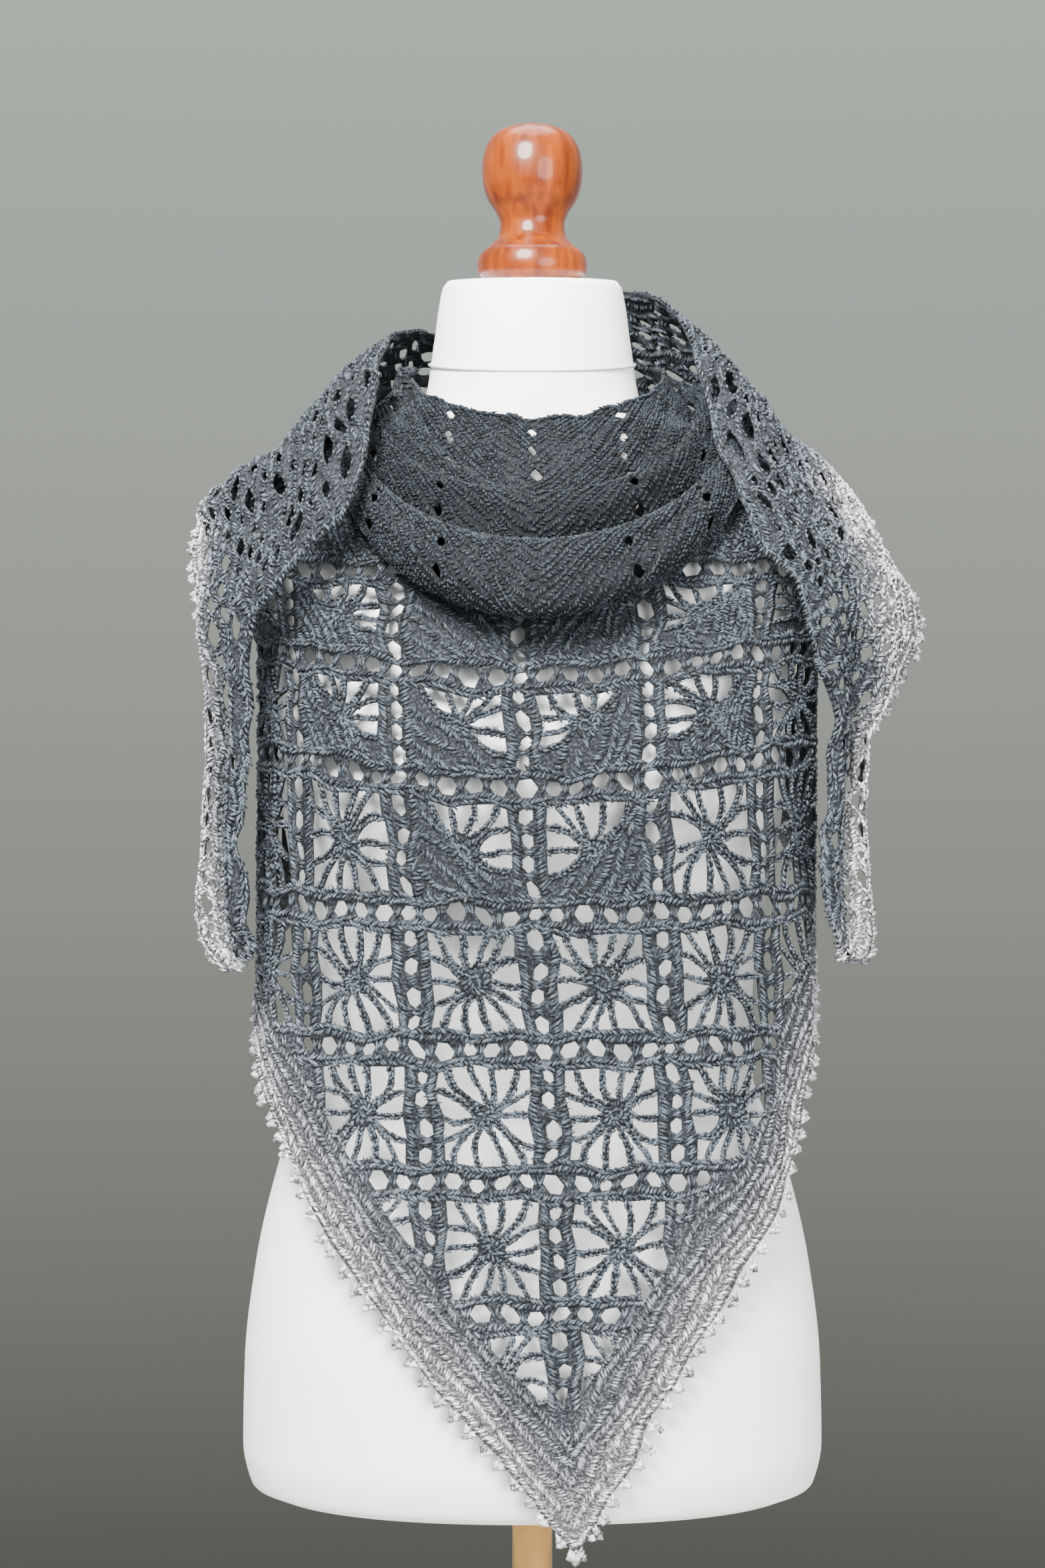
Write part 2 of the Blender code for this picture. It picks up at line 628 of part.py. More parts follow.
def web_gaps(centre, half_wide, half_high, wanted):
    """The eight gaps round a spider web's hub, each bounded by two arms, the hub and the frame.

    wanted(direction) says which gaps are open. A side gap has four corners and a corner gap five.
    """
    gaps = []
    for k in range(8):
        middle = math.pi / 4 * k
        if not wanted(middle):
            continue
        outline = []
        corner = k % 2 == 1
        for side in (-1, 1):
            ray = middle + side * math.pi / 8
            across = np.array([math.cos(ray), math.sin(ray)])
            inward = np.array([math.sin(ray), -math.cos(ray)]) * side * ARM / 2
            far = min(half_wide / max(abs(across[0]), 1e-9), half_high / max(abs(across[1]), 1e-9))
            pair = [across * HUB + inward, across * far + inward]
            outline += pair if side < 0 else pair[::-1]
            if corner and side < 0:
                quarter = np.sign([math.cos(middle), math.sin(middle)])
                outline.append(np.array([half_wide, half_high]) * quarter)
        gaps.append([(centre[0] + p[0], centre[1] + p[1]) for p in outline])
    return gaps


def lace_gaps(low_column, high_column, corners_only=False):
    """Gaps of the web squares between two columns of the lace, kept off the border."""
    found = []
    for row, (low, high) in enumerate(zip(EYELET_ROWS, EYELET_ROWS[1:])):
        for k in range(low_column, high_column):
            centre = (SQUARE * (k + 0.5), (low + high) / 2)
            layer = row - (k if k >= 0 else -k - 1)
            if layer > HALF_UP_TO:
                continue
            towards = 1.0 if k < 0 else -1.0

            def wanted(direction, layer=layer, towards=towards):
                lean = math.cos(direction) * towards + math.sin(direction)
                corner = abs(math.sin(2 * direction)) > 0.5
                return (layer <= WHOLE_UP_TO or lean > 0.5) and (corner or not corners_only)

            half_wide = SQUARE / 2 - FRAME
            half_high = (high - low) / 2 - FRAME
            for gap in web_gaps(centre, half_wide, half_high, wanted):
                gap = [(x, float(sagged(x, z))) for x, z in gap]
                slope = abs(edge_height(centre[0] + 0.02) - edge_height(centre[0] - 0.02)) / 0.04
                clear = BORDER * math.hypot(1, float(slope))

                def keep(point, clear=clear):
                    return point[1] - float(edge_height(point[0])) - clear

                cut = cut_polygon(gap, keep)
                if len(cut) > 2 and area(cut) > SMALLEST_GAP * 2:
                    found.append(cut)
    return found


def fill_points(outline, holes, step):
    """Even points inside an outline and clear of its sides and of the holes."""
    outline = np.asarray(outline, float)
    low, high = outline.min(0), outline.max(0)
    xs = np.arange(low[0] + step[0] / 2, high[0], step[0])
    ys = np.arange(low[1] + step[1] / 2, high[1], step[1])
    grid = np.array([(x, y) for x in xs for y in ys])
    grid = grid[inside(grid, outline)]
    scale = np.array([1.0 / step[0], 1.0 / step[1]])
    grid = grid[nearest(grid * scale, outline * scale) > FILL_CLEARANCE]
    for hole in holes:
        near = nearest(grid * scale, np.asarray(hole) * scale) > FILL_CLEARANCE * HOLE_CLEARANCE
        grid = grid[near & ~inside(grid, hole)]
    return grid


def wall(name, surface, outline, holes, step, thick):
    """A closed cloth wall: the outline less its holes, triangulated, then given two faces and rims."""
    loops = [list(map(tuple, outline))] + [list(map(tuple, hole)) for hole in holes]
    points, sides = [], []
    for loop in loops:
        first = len(points)
        points += loop
        sides += [(first + i, first + (i + 1) % len(loop)) for i in range(len(loop))]
    points += list(map(tuple, fill_points(outline, holes, step)))
    flat = [Vector(p) for p in points]
    chart, _, triangles, *_ = geometry.delaunay_2d_cdt(flat, sides, [], 0, 1e-7)
    chart = np.array([tuple(p) for p in chart])
    triangles = np.array([tuple(t) for t in triangles])
    middles = chart[triangles].mean(axis=1)
    kept = inside(middles, outline)
    for hole in holes:
        kept &= ~inside(middles, hole)
    triangles = triangles[kept]
    a, b, c = (chart[triangles[:, i]] for i in range(3))
    turned = (b[:, 0] - a[:, 0]) * (c[:, 1] - a[:, 1]) < (b[:, 1] - a[:, 1]) * (c[:, 0] - a[:, 0])
    triangles[turned] = triangles[turned][:, ::-1]
    place, normal = surface(chart)
    a, b, c = (place[triangles[:, i]] for i in range(3))
    facing = np.einsum("ij,ij->i", np.cross(b - a, c - a), normal[triangles[:, 0]]).sum()
    if facing < 0:
        triangles = triangles[:, ::-1]
    return wall_object(name, place, normal, triangles, thick)


def wall_object(name, place, normal, triangles, thick):
    """Two faces half the thickness either side of the middle, joined along every open side."""
    bm = bmesh.new()
    outer = [bm.verts.new(p) for p in place + normal * thick / 2]
    inner = [bm.verts.new(p) for p in place - normal * thick / 2]
    used = {}
    for t in triangles:
        bm.faces.new([outer[i] for i in t])
        bm.faces.new([inner[i] for i in t[::-1]])
        for i in range(3):
            side = (int(t[i]), int(t[(i + 1) % 3]))
            used[side] = used.get(side, 0) + 1
    for a, b in used:
        if (b, a) not in used:
            bm.faces.new([outer[b], outer[a], inner[a], inner[b]])
    loose = [v for v in bm.verts if not v.link_faces]
    bmesh.ops.delete(bm, geom=loose, context="VERTS")
    return finished(name, bm)


def finished(name, bm):
    """Puts a mesh in the scene as a named object, with smooth shading but for sharp corners."""
    bmesh.ops.recalc_face_normals(bm, faces=bm.faces)
    mesh = bpy.data.meshes.new(name)
    bm.to_mesh(mesh)
    bm.free()
    mesh.shade_smooth()
    mesh.set_sharp_from_angle(angle=math.radians(40))
    made = bpy.data.objects.new(name, mesh)
    bpy.context.scene.collection.objects.link(made)
    return made


def finish_as(made, name, colour, roughness, metallic=0.0):
    """Gives an object its own material."""
    material = bpy.data.materials.new(name)
    material.use_nodes = True
    shader = material.node_tree.nodes["Principled BSDF"]
    shader.inputs["Base Color"].default_value = colour
    shader.inputs["Roughness"].default_value = roughness
    shader.inputs["Metallic"].default_value = metallic
    made.data.materials.append(material)


def stacked_rings(name, rings):
    """A closed body through rings of equal count, bottom to top, with flat ends."""
    bm = bmesh.new()
    loops = [[bm.verts.new(p) for p in ring] for ring in rings]
    for low, high in zip(loops, loops[1:]):
        for i in range(len(low)):
            j = (i + 1) % len(low)
            bm.faces.new([low[i], low[j], high[j], high[i]])
    bm.faces.new(loops[0][::-1])
    bm.faces.new(loops[-1])
    return finished(name, bm)


def turned(name, table, names, foot, sides, tilt=0.0):
    """A turned piece: rings of a profile about the vertical, the foot cut to a slight tilt."""
    angle = np.linspace(0, 2 * math.pi, sides, endpoint=False)
    radii = column(table, names, "radius")
    heights = column(table, names, "above")
    rings = []
    for radius, above in zip(radii, heights):
        x, y = radius * np.sin(angle), -radius * np.cos(angle)
        settle = tilt * y * max(0.0, 1 - above / 0.02)
        rings.append(np.stack([x, y, foot + above + settle], axis=-1))
    return stacked_rings(name, rings)


def build_form():
    """The padded torso and neck, its finial, and the pole and foot that carry it."""
    heights = column(FORM, FORM_COLUMNS, "z")
    torso = stacked_rings("torso_form", [form_ring(z) for z in heights])
    finish_as(torso, "linen", LINEN, 0.8)
    finial = turned("finial", FINIAL, FINIAL_COLUMNS, FINIAL_Z, FINIAL_SIDES, NECK_TILT)
    finish_as(finial, "varnished_wood", WOOD, 0.25)
    base_top = column(BASE, BASE_COLUMNS, "above")[-1]
    pole_rows = (
        (POLE_RADIUS, base_top + SEAM_GAP),
        (POLE_RADIUS, heights[0] - SEAM_GAP),
    )
    pole = turned("stand_pole", pole_rows, FINIAL_COLUMNS, 0.0, POLE_SIDES)
    finish_as(pole, "brass", BRASS, 0.25, 1.0)
    base = turned("stand_base", BASE, BASE_COLUMNS, 0.0, BASE_SIDES)
    finish_as(base, "brass_base", BRASS, 0.3, 1.0)


def panel_top(away):
    """Height of the panel's hidden upper edge, low behind the cowl and high at the shoulders."""
    share = np.clip(np.abs(away) / PANEL_TOP_SPREAD, 0, 1)
    return PANEL_TOP_LOW + (SHELL_TOP - PANEL_TOP_LOW) * share * share * (3 - 2 * share)


def build_panel():
    """The front of the shawl, from its tip up to the cowl and round to the sides."""
    shell = Shell()
    fine = np.linspace(0, PANEL_HALF, 400)
    right = picot_line(np.stack([fine, edge_height(fine)], -1))
    left = picot_line(np.stack([-fine[::-1], edge_height(-fine[::-1])], -1))
    top_away = np.linspace(PANEL_HALF, -PANEL_HALF, 37)
    top = np.stack([top_away, panel_top(top_away)], -1)
    step_up = np.linspace(0, 1, 16)[1:-1, None]
    right_side = right[-1] + (top[0] - right[-1]) * step_up
    left_side = top[-1] + (left[0] - top[-1]) * step_up
    outline = np.concatenate([right, right_side, top, left_side, left[:-1]])
    gaps = lace_gaps(-4, 4)
    gaps = [g for g in gaps if max(abs(p[0]) for p in g) < PANEL_HALF - GAP_MARGIN]
    gaps = [g for g in gaps if all(p[1] < float(panel_top(p[0])) - GAP_MARGIN for p in g)]
    made = wall("front_panel", shell, outline, gaps, PANEL_STEP, CLOTH)
    finish_as(made, "yarn_middle", MID_YARN, 0.9)
    return len(gaps)


def build_wing(name, side):
    """One half of the shawl from the side of the body, across the back, up to the other shoulder."""
    shell = Shell(lift_side=side if side > 0 else 0)
    begin = PANEL_HALF + SEAM_GAP * 1.6
    end = WING_END[side]
    fine = np.linspace(begin, end, 500)
    edge = np.stack([fine, edge_height(fine * side)], -1)
    lower = picot_line(edge)
    end_up = np.linspace(0, 1, 4)[1:-1, None]
    top_away = np.linspace(end, begin, 24)
    top = np.stack([top_away, np.full(24, SHELL_TOP)], -1)
    far_side = lower[-1] + (top[0] - lower[-1]) * end_up
    near_side = top[-1] + (lower[0] - top[-1]) * np.linspace(0, 1, 16)[1:-1, None]
    outline = np.concatenate([lower, far_side, top, near_side])
    outline = outline * np.array([side, 1.0])
    columns = (4, 9) if side > 0 else (-9, -4)
    gaps = []
    for gap in lace_gaps(*columns, corners_only=True):
        reach = [abs(p[0]) for p in gap]
        if min(reach) > begin + GAP_MARGIN and max(reach) < end - WING_END_MARGIN:
            gaps.append(gap)
    made = wall(name, shell, outline, gaps, WING_STEP, CLOTH)
    finish_as(made, name + "_yarn", MID_YARN, 0.9)
    return len(gaps)


def build_cowl(hanging):
    """The folds at the throat: neck band, roll and drop. Returns a search tree over them all."""
    for layer, (name, table, across) in enumerate(
        (
            ("neck_band", NECK_BAND, 6),
            ("cowl_roll", COWL_ROLL, 8),
            ("cowl_drop", COWL_DROP, 10),
        )
    ):
        under = [(hanging, CLOSE_LAYER * (layer + 1))]
        patch = Patch(cowl_place(table), 61, 121, under=under)
        made = grid_wall(name, patch, across, 33)
        finish_as(made, name + "_yarn", DARK_YARN, 0.9)
    under = [(hanging, CLOSE_LAYER * 3)]
    return Patch(cowl_place(COWL_ENVELOPE, smooth=False), 41, 81, under=under).tree()


def grid_wall(name, patch, across, along):
    """A plain cloth wall on an even grid of a patch."""
    s, t = np.meshgrid(np.linspace(0, 1, across), np.linspace(0, 1, along), indexing="ij")
    chart = np.stack([s.ravel(), t.ravel()], -1)
    place, normal = patch(chart)
    triangles = []
    for i in range(across - 1):
        for j in range(along - 1):
            a, b = i * along + j, i * along + j + 1
            c, d = a + along, b + along
            triangles += [(a, c, b), (b, c, d)]
    return wall_object(name, place, normal, np.array(triangles), CLOTH)


def scalloped_side(table):
    """The bordered edge of a shawl end, as (across, along) in 0..1 with evenly spaced picots."""
    t = np.linspace(0, 1, 1200)
    rows = flow_rows(t * (len(table) - 1), table)
    edge = rows[:, 3:6]
    steps = np.linalg.norm(np.diff(edge, axis=0), axis=1)
    along = np.concatenate([[0.0], np.cumsum(steps)])
    count = 2 * round(along[-1] / PICOT_PITCH)
    place = np.interp(np.linspace(0, along[-1], count + 1), along, t)
    width = np.linalg.norm(rows[:, 3:6] - rows[:, 0:3], axis=1)
    back = PICOT_REACH / np.interp(place, t, width)
    base = np.arange(count + 1) % 2 == 0
    return np.stack([np.where(base, 1 - back, 1.0), place], axis=-1)


def build_drape(name, table, under):
    """One end of the shawl over a shoulder, with its tail, in cloth with a scalloped edge."""
    leftward = table[5][0] < 0
    patch = Patch(drape_place(table), flip=not leftward, under=under)
    scale = np.array([DRAPE_WIDTH, DRAPE_LENGTH])
    bordered = scalloped_side(table) * scale
    tip = np.stack([np.linspace(bordered[-1][0], 0, 5)[1:], np.full(4, DRAPE_LENGTH)], -1)
    neck = np.stack([np.zeros(30), np.linspace(DRAPE_LENGTH, 0, 31)[1:]], -1)
    start = np.stack([np.linspace(0, bordered[0][0], 8)[1:-1], np.zeros(6)], -1)
    outline = np.concatenate([bordered, tip, neck, start])

    def surface(chart):
        return patch(np.asarray(chart) / scale)

    gaps = drape_gaps()
    made = wall(name, surface, outline, gaps, DRAPE_STEP, CLOTH * 0.9)
    finish_as(made, name + "_yarn", MID_YARN, 0.9)
    return len(gaps), patch.tree()


def drape_gaps():
    """Squeezed web gaps on a shawl end: slim lozenges in staggered rows."""
    half_wide, half_long = DRAPE_GAP_HALF
    gaps = []
    for row in range(DRAPE_GAP_ROWS):
        for place, across in enumerate(DRAPE_GAP_ACROSS):
            along = DRAPE_GAP_START + DRAPE_GAP_PITCH * row + DRAPE_GAP_STAGGER * place
            gaps.append(
                [
                    (across - half_wide, along),
                    (across, along - half_long),
                    (across + half_wide, along),
                    (across, along + half_long),
                ]
            )
    return gaps


def main():
    for old in list(bpy.data.objects):
        bpy.data.objects.remove(old)
    build_form()
    hanging = sheet_tree(Shell(lift_side=1).points, 4)
    cowl = build_cowl(hanging)
    under = [(hanging, LAYER), (cowl, CLOSE_LAYER)]
    left_gaps, left = build_drape("drape_left", LEFT_DRAPE, under)
    under = [(hanging, CLOSE_LAYER), (cowl, CLOTH / 2), (left, CLOSE_LAYER)]
    right_gaps, _ = build_drape("drape_right", RIGHT_DRAPE, under)
    counts = [
        build_panel(),
        build_wing("back_wing_left", -1),
        build_wing("back_wing_right", 1),
        left_gaps,
        right_gaps,
    ]
    print("gaps cut", counts, "in all", sum(counts))


main()
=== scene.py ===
import math

import bpy
import numpy as np
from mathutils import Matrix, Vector, geometry


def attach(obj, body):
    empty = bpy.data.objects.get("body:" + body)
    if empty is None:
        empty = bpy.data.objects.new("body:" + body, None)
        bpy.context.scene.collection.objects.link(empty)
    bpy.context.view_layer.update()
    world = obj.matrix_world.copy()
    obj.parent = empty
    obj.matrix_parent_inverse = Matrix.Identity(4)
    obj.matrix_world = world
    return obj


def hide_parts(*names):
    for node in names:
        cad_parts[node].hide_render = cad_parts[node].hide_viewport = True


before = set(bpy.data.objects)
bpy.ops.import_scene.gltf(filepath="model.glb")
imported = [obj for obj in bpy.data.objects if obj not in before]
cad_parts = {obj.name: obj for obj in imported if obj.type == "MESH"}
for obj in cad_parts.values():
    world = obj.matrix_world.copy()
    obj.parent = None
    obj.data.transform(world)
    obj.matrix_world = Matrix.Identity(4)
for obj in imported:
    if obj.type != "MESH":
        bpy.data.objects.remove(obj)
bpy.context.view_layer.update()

bl_info = {
    "name": "Crochet shawl on a dress form",
    "version": (1, 0, 0),
    "blender": (4, 5, 0),
    "location": "3D View > Sidebar > Shawl",
    "description": "Dresses the shawl's solids in crochet stitches and finishes the form and its stand",
    "category": "Object",
}

BODY = "root"

# Driving sizes of the cloth: the wall of the solids, the thinner wall under the stitches, and the
# room that a sheet keeps from the one it lies over
CLOTH = 0.0022
WALL = 0.0012
LAYER = 0.0046
CLOSE_LAYER = 0.0034
# The front panel: its half width, the seam beside it, and its hidden upper edge, which is low
# behind the cowl and high at the shoulders
PANEL_HALF = 0.27
PANEL_SEAM = 0.0005
PANEL_TOP_LOW = 0.862
PANEL_TOP_SPREAD = 0.150
# The border of plain rows, and the picots along it
BORDER = 0.040
PICOT_PITCH = 0.0124
PICOT_REACH = 0.0055
# The lace: squares divided by bands of eyelets, each square holding a spider web
SQUARE = 0.073
# Heights of the eyelet rows between the rows of webs. Webs are whole in the squares nearest the
# shawl's lower edge, then come squares with only the gaps towards the spine, then solid ones.
EYELET_ROWS = (0.3515, 0.4270, 0.5025, 0.5785, 0.6550, 0.7275, 0.7910, 0.8520, 0.9050)
WHOLE_UP_TO = 3
HALF_UP_TO = 5
# Level sections of the dress form
FORM_COLUMNS = ("z", "half", "front", "back", "fullness")
FORM = (
    (0.300, 0.160, 0.100, 0.106, 2.30),
    (0.306, 0.172, 0.112, 0.118, 2.30),
    (0.330, 0.177, 0.118, 0.124, 2.30),
    (0.380, 0.176, 0.118, 0.126, 2.30),
    (0.440, 0.169, 0.112, 0.120, 2.30),
    (0.500, 0.155, 0.100, 0.107, 2.30),
    (0.560, 0.134, 0.089, 0.092, 2.25),
    (0.620, 0.136, 0.092, 0.094, 2.25),
    (0.680, 0.148, 0.108, 0.101, 2.25),
    (0.735, 0.155, 0.122, 0.107, 2.25),
    (0.780, 0.156, 0.115, 0.112, 2.25),
    (0.830, 0.160, 0.097, 0.114, 2.30),
    (0.865, 0.171, 0.081, 0.108, 2.30),
    (0.893, 0.1798, 0.067, 0.095, 2.30),
    (0.913, 0.150, 0.059, 0.082, 2.30),
    (0.933, 0.106, 0.054, 0.070, 2.20),
    (0.950, 0.079, 0.0525, 0.0635, 2.10),
    (0.966, 0.066, 0.0525, 0.0580, 2.00),
    (1.000, 0.0605, 0.0520, 0.0550, 2.00),
    (1.035, 0.0550, 0.0500, 0.0500, 2.00),
    (1.039, 0.0520, 0.0470, 0.0470, 2.00),
)
# The bust: two bells on the front of the form
BUST_Z = 0.735
BUST_X = 0.072
BUST_SWELL = 0.007
BUST_SPREAD = 0.040
# How the top of the neck tilts forward, and from what height
NECK_TILT = 0.12
NECK_TILT_FROM = 1.000
# The neck's seam runs between two heights, lower in front
SEAM_LOW = 0.962
SEAM_HIGH = 1.014
SEAM_DIP = 0.22
SEAM_PROUD = (1.002, 1.002, 1.0)
# Level sections of the hanging cloth, which falls straight from the bust and shoulders
SHELL_COLUMNS = ("z", "left", "right", "front", "back")
SHELL = (
    (0.270, 0.180, 0.182, 0.1262, 0.133),
    (0.330, 0.183, 0.185, 0.1272, 0.133),
    (0.440, 0.178, 0.181, 0.1290, 0.131),
    (0.500, 0.173, 0.175, 0.1300, 0.126),
    (0.560, 0.170, 0.172, 0.1312, 0.121),
    (0.600, 0.168, 0.172, 0.1322, 0.119),
    (0.650, 0.1655, 0.171, 0.1335, 0.118),
    (0.700, 0.1640, 0.1705, 0.1350, 0.118),
    (0.735, 0.1635, 0.171, 0.1355, 0.118),
    (0.780, 0.1640, 0.172, 0.1290, 0.120),
    (0.830, 0.1690, 0.175, 0.1115, 0.122),
    (0.865, 0.1815, 0.183, 0.0945, 0.119),
    (0.893, 0.1910, 0.191, 0.0800, 0.107),
    (0.913, 0.1710, 0.171, 0.0720, 0.096),
    (0.933, 0.1260, 0.126, 0.0660, 0.083),
    (0.950, 0.0890, 0.089, 0.0630, 0.074),
    (0.966, 0.0735, 0.0735, 0.0590, 0.0650),
    (0.990, 0.0680, 0.0680, 0.0575, 0.0610),
)
SHELL_FULLNESS = 2.28
SECTION_POINTS = 1441
SHELL_TOP = 0.934
SHOULDER_Z = 0.850
# Where the spine of the shawl lies, from the tip up: it hangs a little askew
SPINE_COLUMNS = ("z", "x")
SPINE = (
    (0.270, 0.0275),
    (0.350, 0.0205),
    (0.430, 0.0155),
    (0.530, 0.0105),
    (0.630, 0.0025),
    (0.730, -0.0045),
    (0.800, -0.0075),
    (0.860, -0.0070),
    (0.946, 0.0000),
)
# Lower edge of the shawl, by cloth length from the spine, round the sides and over the back
EDGE_COLUMNS = ("away", "left_z", "right_z")
EDGE = (
    (0.000, 0.2905, 0.2905),
    (0.050, 0.3560, 0.3650),
    (0.100, 0.4180, 0.4370),
    (0.127, 0.4550, 0.4650),
    (0.150, 0.4880, 0.4940),
    (0.165, 0.5100, 0.5230),
    (0.190, 0.5410, 0.5640),
    (0.240, 0.5920, 0.6300),
    (0.300, 0.6400, 0.6900),
    (0.360, 0.6850, 0.7280),
    (0.480, 0.7500, 0.7750),
    (0.600, 0.8200, 0.8350),
    (0.690, 0.8800, 0.8880),
    (0.760, 0.9150, 0.9150),
)
# How far round each wing reaches, and how far the right one lifts to cross over the left
WING_END = {-1: 0.530, 1: 0.590}
WING_LIFT = 0.0085
WING_LIFT_RUN = 0.090
# Soft creases, each as (across, up, lean, length, width, depth). These are on the hanging cloth,
# by cloth length from the spine and height.
CREASES = (
    (-0.205, 0.720, 0.05, 0.140, 0.012, 0.0040),
    (-0.170, 0.640, 0.16, 0.110, 0.014, 0.0030),
    (-0.105, 0.800, -0.75, 0.060, 0.013, 0.0026),
    (0.120, 0.810, 0.70, 0.060, 0.013, 0.0026),
    (0.205, 0.740, -0.04, 0.130, 0.012, 0.0040),
    (0.185, 0.610, -0.20, 0.100, 0.014, 0.0034),
    (0.030, 0.520, -0.25, 0.120, 0.022, 0.0022),
    (-0.060, 0.470, 0.40, 0.080, 0.020, 0.0022),
    (-0.330, 0.790, 0.60, 0.120, 0.014, 0.0030),
    (0.330, 0.800, -0.60, 0.120, 0.014, 0.0030),
    (-0.420, 0.840, 0.75, 0.110, 0.014, 0.0030),
    (0.420, 0.850, -0.75, 0.110, 0.014, 0.0030),
)
# The same on the folds of the cowl, by length over the fold and length round the neck
FOLD_CREASES = {
    "neck_band": (
        (0.030, -0.085, 0.36, 0.060, 0.0055, -0.0046),
        (0.046, 0.080, -0.30, 0.055, 0.0066, -0.0041),
        (0.020, 0.055, -0.45, 0.040, 0.0055, 0.0038),
        (0.056, -0.020, 0.25, 0.070, 0.0066, 0.0032),
    ),
    "cowl_roll": (
        (0.025, -0.110, 0.22, 0.070, 0.0055, -0.0043),
        (0.041, 0.060, -0.18, 0.080, 0.0066, 0.0035),
        (0.018, 0.120, -0.20, 0.060, 0.0055, -0.0041),
        (0.050, -0.040, 0.12, 0.090, 0.0066, -0.0032),
    ),
    "cowl_drop": (
        (0.030, -0.130, 0.20, 0.080, 0.0066, -0.0049),
        (0.050, -0.060, 0.16, 0.090, 0.0077, 0.0038),
        (0.035, 0.110, -0.22, 0.080, 0.0066, -0.0046),
        (0.056, 0.050, -0.13, 0.100, 0.0077, 0.0035),
    ),
}
# The same on the two ends, by depth in from the bordered edge and length along it
LEFT_CREASES = (
    (0.060, 0.200, 0.15, 0.060, 0.010, -0.0045),
    (0.096, 0.180, -0.10, 0.060, 0.010, 0.0036),
    (0.036, 0.262, 0.20, 0.050, 0.008, -0.0034),
    (0.080, 0.282, -0.30, 0.040, 0.008, -0.0038),
    (0.022, 0.380, 0.05, 0.060, 0.006, -0.0022),
    (0.026, 0.460, -0.06, 0.050, 0.006, 0.0022),
)
RIGHT_CREASES = (
    (0.055, 0.220, 0.12, 0.060, 0.010, -0.0040),
    (0.090, 0.260, -0.08, 0.060, 0.009, 0.0034),
    (0.036, 0.320, 0.25, 0.045, 0.008, -0.0034),
    (0.060, 0.362, -0.20, 0.040, 0.008, -0.0032),
    (0.022, 0.450, 0.05, 0.060, 0.006, -0.0022),
    (0.026, 0.532, -0.06, 0.050, 0.006, 0.0022),
)
# How far in from the bordered edge an end keeps its palest yarn, by share of its length
PALE_COLUMNS = ("share", "depth")
LEFT_PALE = ((0.0, 0.004), (0.45, 0.008), (0.60, 0.003), (0.80, 0.003), (1.0, 0.020))
RIGHT_PALE = (
    (0.0, 0.004), (0.42, 0.008), (0.52, 0.034),
    (0.66, 0.034), (0.72, 0.006), (1.0, 0.020),
)
# The cowl's folds, each from its upper lip over its crest to the edge tucked behind the next:
# (how far out, how high) in front of the neck, then the same beside it
NECK_BAND = (
    (0.0695, 0.9465, 0.0735, 0.9830),
    (0.0770, 0.9340, 0.0755, 0.9790),
    (0.0880, 0.9180, 0.0780, 0.9740),
    (0.0990, 0.9030, 0.0805, 0.9690),
    (0.1065, 0.8920, 0.0840, 0.9650),
    (0.1090, 0.8800, 0.0870, 0.9610),
    (0.1090, 0.8680, 0.0890, 0.9570),
)
COWL_ROLL = (
    (0.1140, 0.8760, 0.0930, 0.9630),
    (0.1155, 0.8850, 0.0940, 0.9680),
    (0.1195, 0.8935, 0.0955, 0.9715),
    (0.1260, 0.8960, 0.0980, 0.9715),
    (0.1315, 0.8890, 0.1010, 0.9675),
    (0.1325, 0.8760, 0.1030, 0.9620),
    (0.1300, 0.8640, 0.1045, 0.9570),
    (0.1275, 0.8530, 0.1050, 0.9540),
)
COWL_DROP = (
    (0.1315, 0.8540, 0.1080, 0.9560),
    (0.1335, 0.8630, 0.1097, 0.9605),
    (0.1380, 0.8680, 0.1127, 0.9630),
    (0.1435, 0.8660, 0.1160, 0.9625),
    (0.1475, 0.8570, 0.1195, 0.9590),
    (0.1485, 0.8440, 0.1220, 0.9545),
    (0.1460, 0.8320, 0.1230, 0.9510),
    (0.1395, 0.8265, 0.1225, 0.9495),
    (0.1310, 0.8290, 0.1200, 0.9490),
    (0.1230, 0.8370, 0.1170, 0.9490),
    (0.1160, 0.8480, 0.1140, 0.9490),
)
# An outer skin over all three folds, for the ends to lie on
COWL_ENVELOPE = (
    (0.0695, 0.9475, 0.0735, 0.9840),
    (0.0960, 0.9160, 0.0860, 0.9750),
    (0.1290, 0.8960, 0.0990, 0.9720),
    (0.1480, 0.8660, 0.1170, 0.9630),
    (0.1490, 0.8400, 0.1235, 0.9530),
    (0.1420, 0.8250, 0.1240, 0.9480),
)
# How the folds sweep round the neck: wider on the right, about a middle this far forward, this
# far round, and drawn in and raised behind
COWL_WIDER_RIGHT = 1.08
COWL_SIDE_Y = -0.006
COWL_TURN = math.radians(112)
COWL_BACK_OUT = 0.72
COWL_BACK_RISE = 0.010
# How steeply the rows of the folds fall towards the spine
COWL_ROW_SLOPE = math.radians(33)
COWL_LEAN = 0.9
# How close together the squares are gathered, and the scallop along the lip, as (turn, lift)
COWL_GATHER = 0.9
SCALLOP_PITCH = 0.0040
SCALLOP = ((0.35, 0.0), (-0.5, 4e-4))
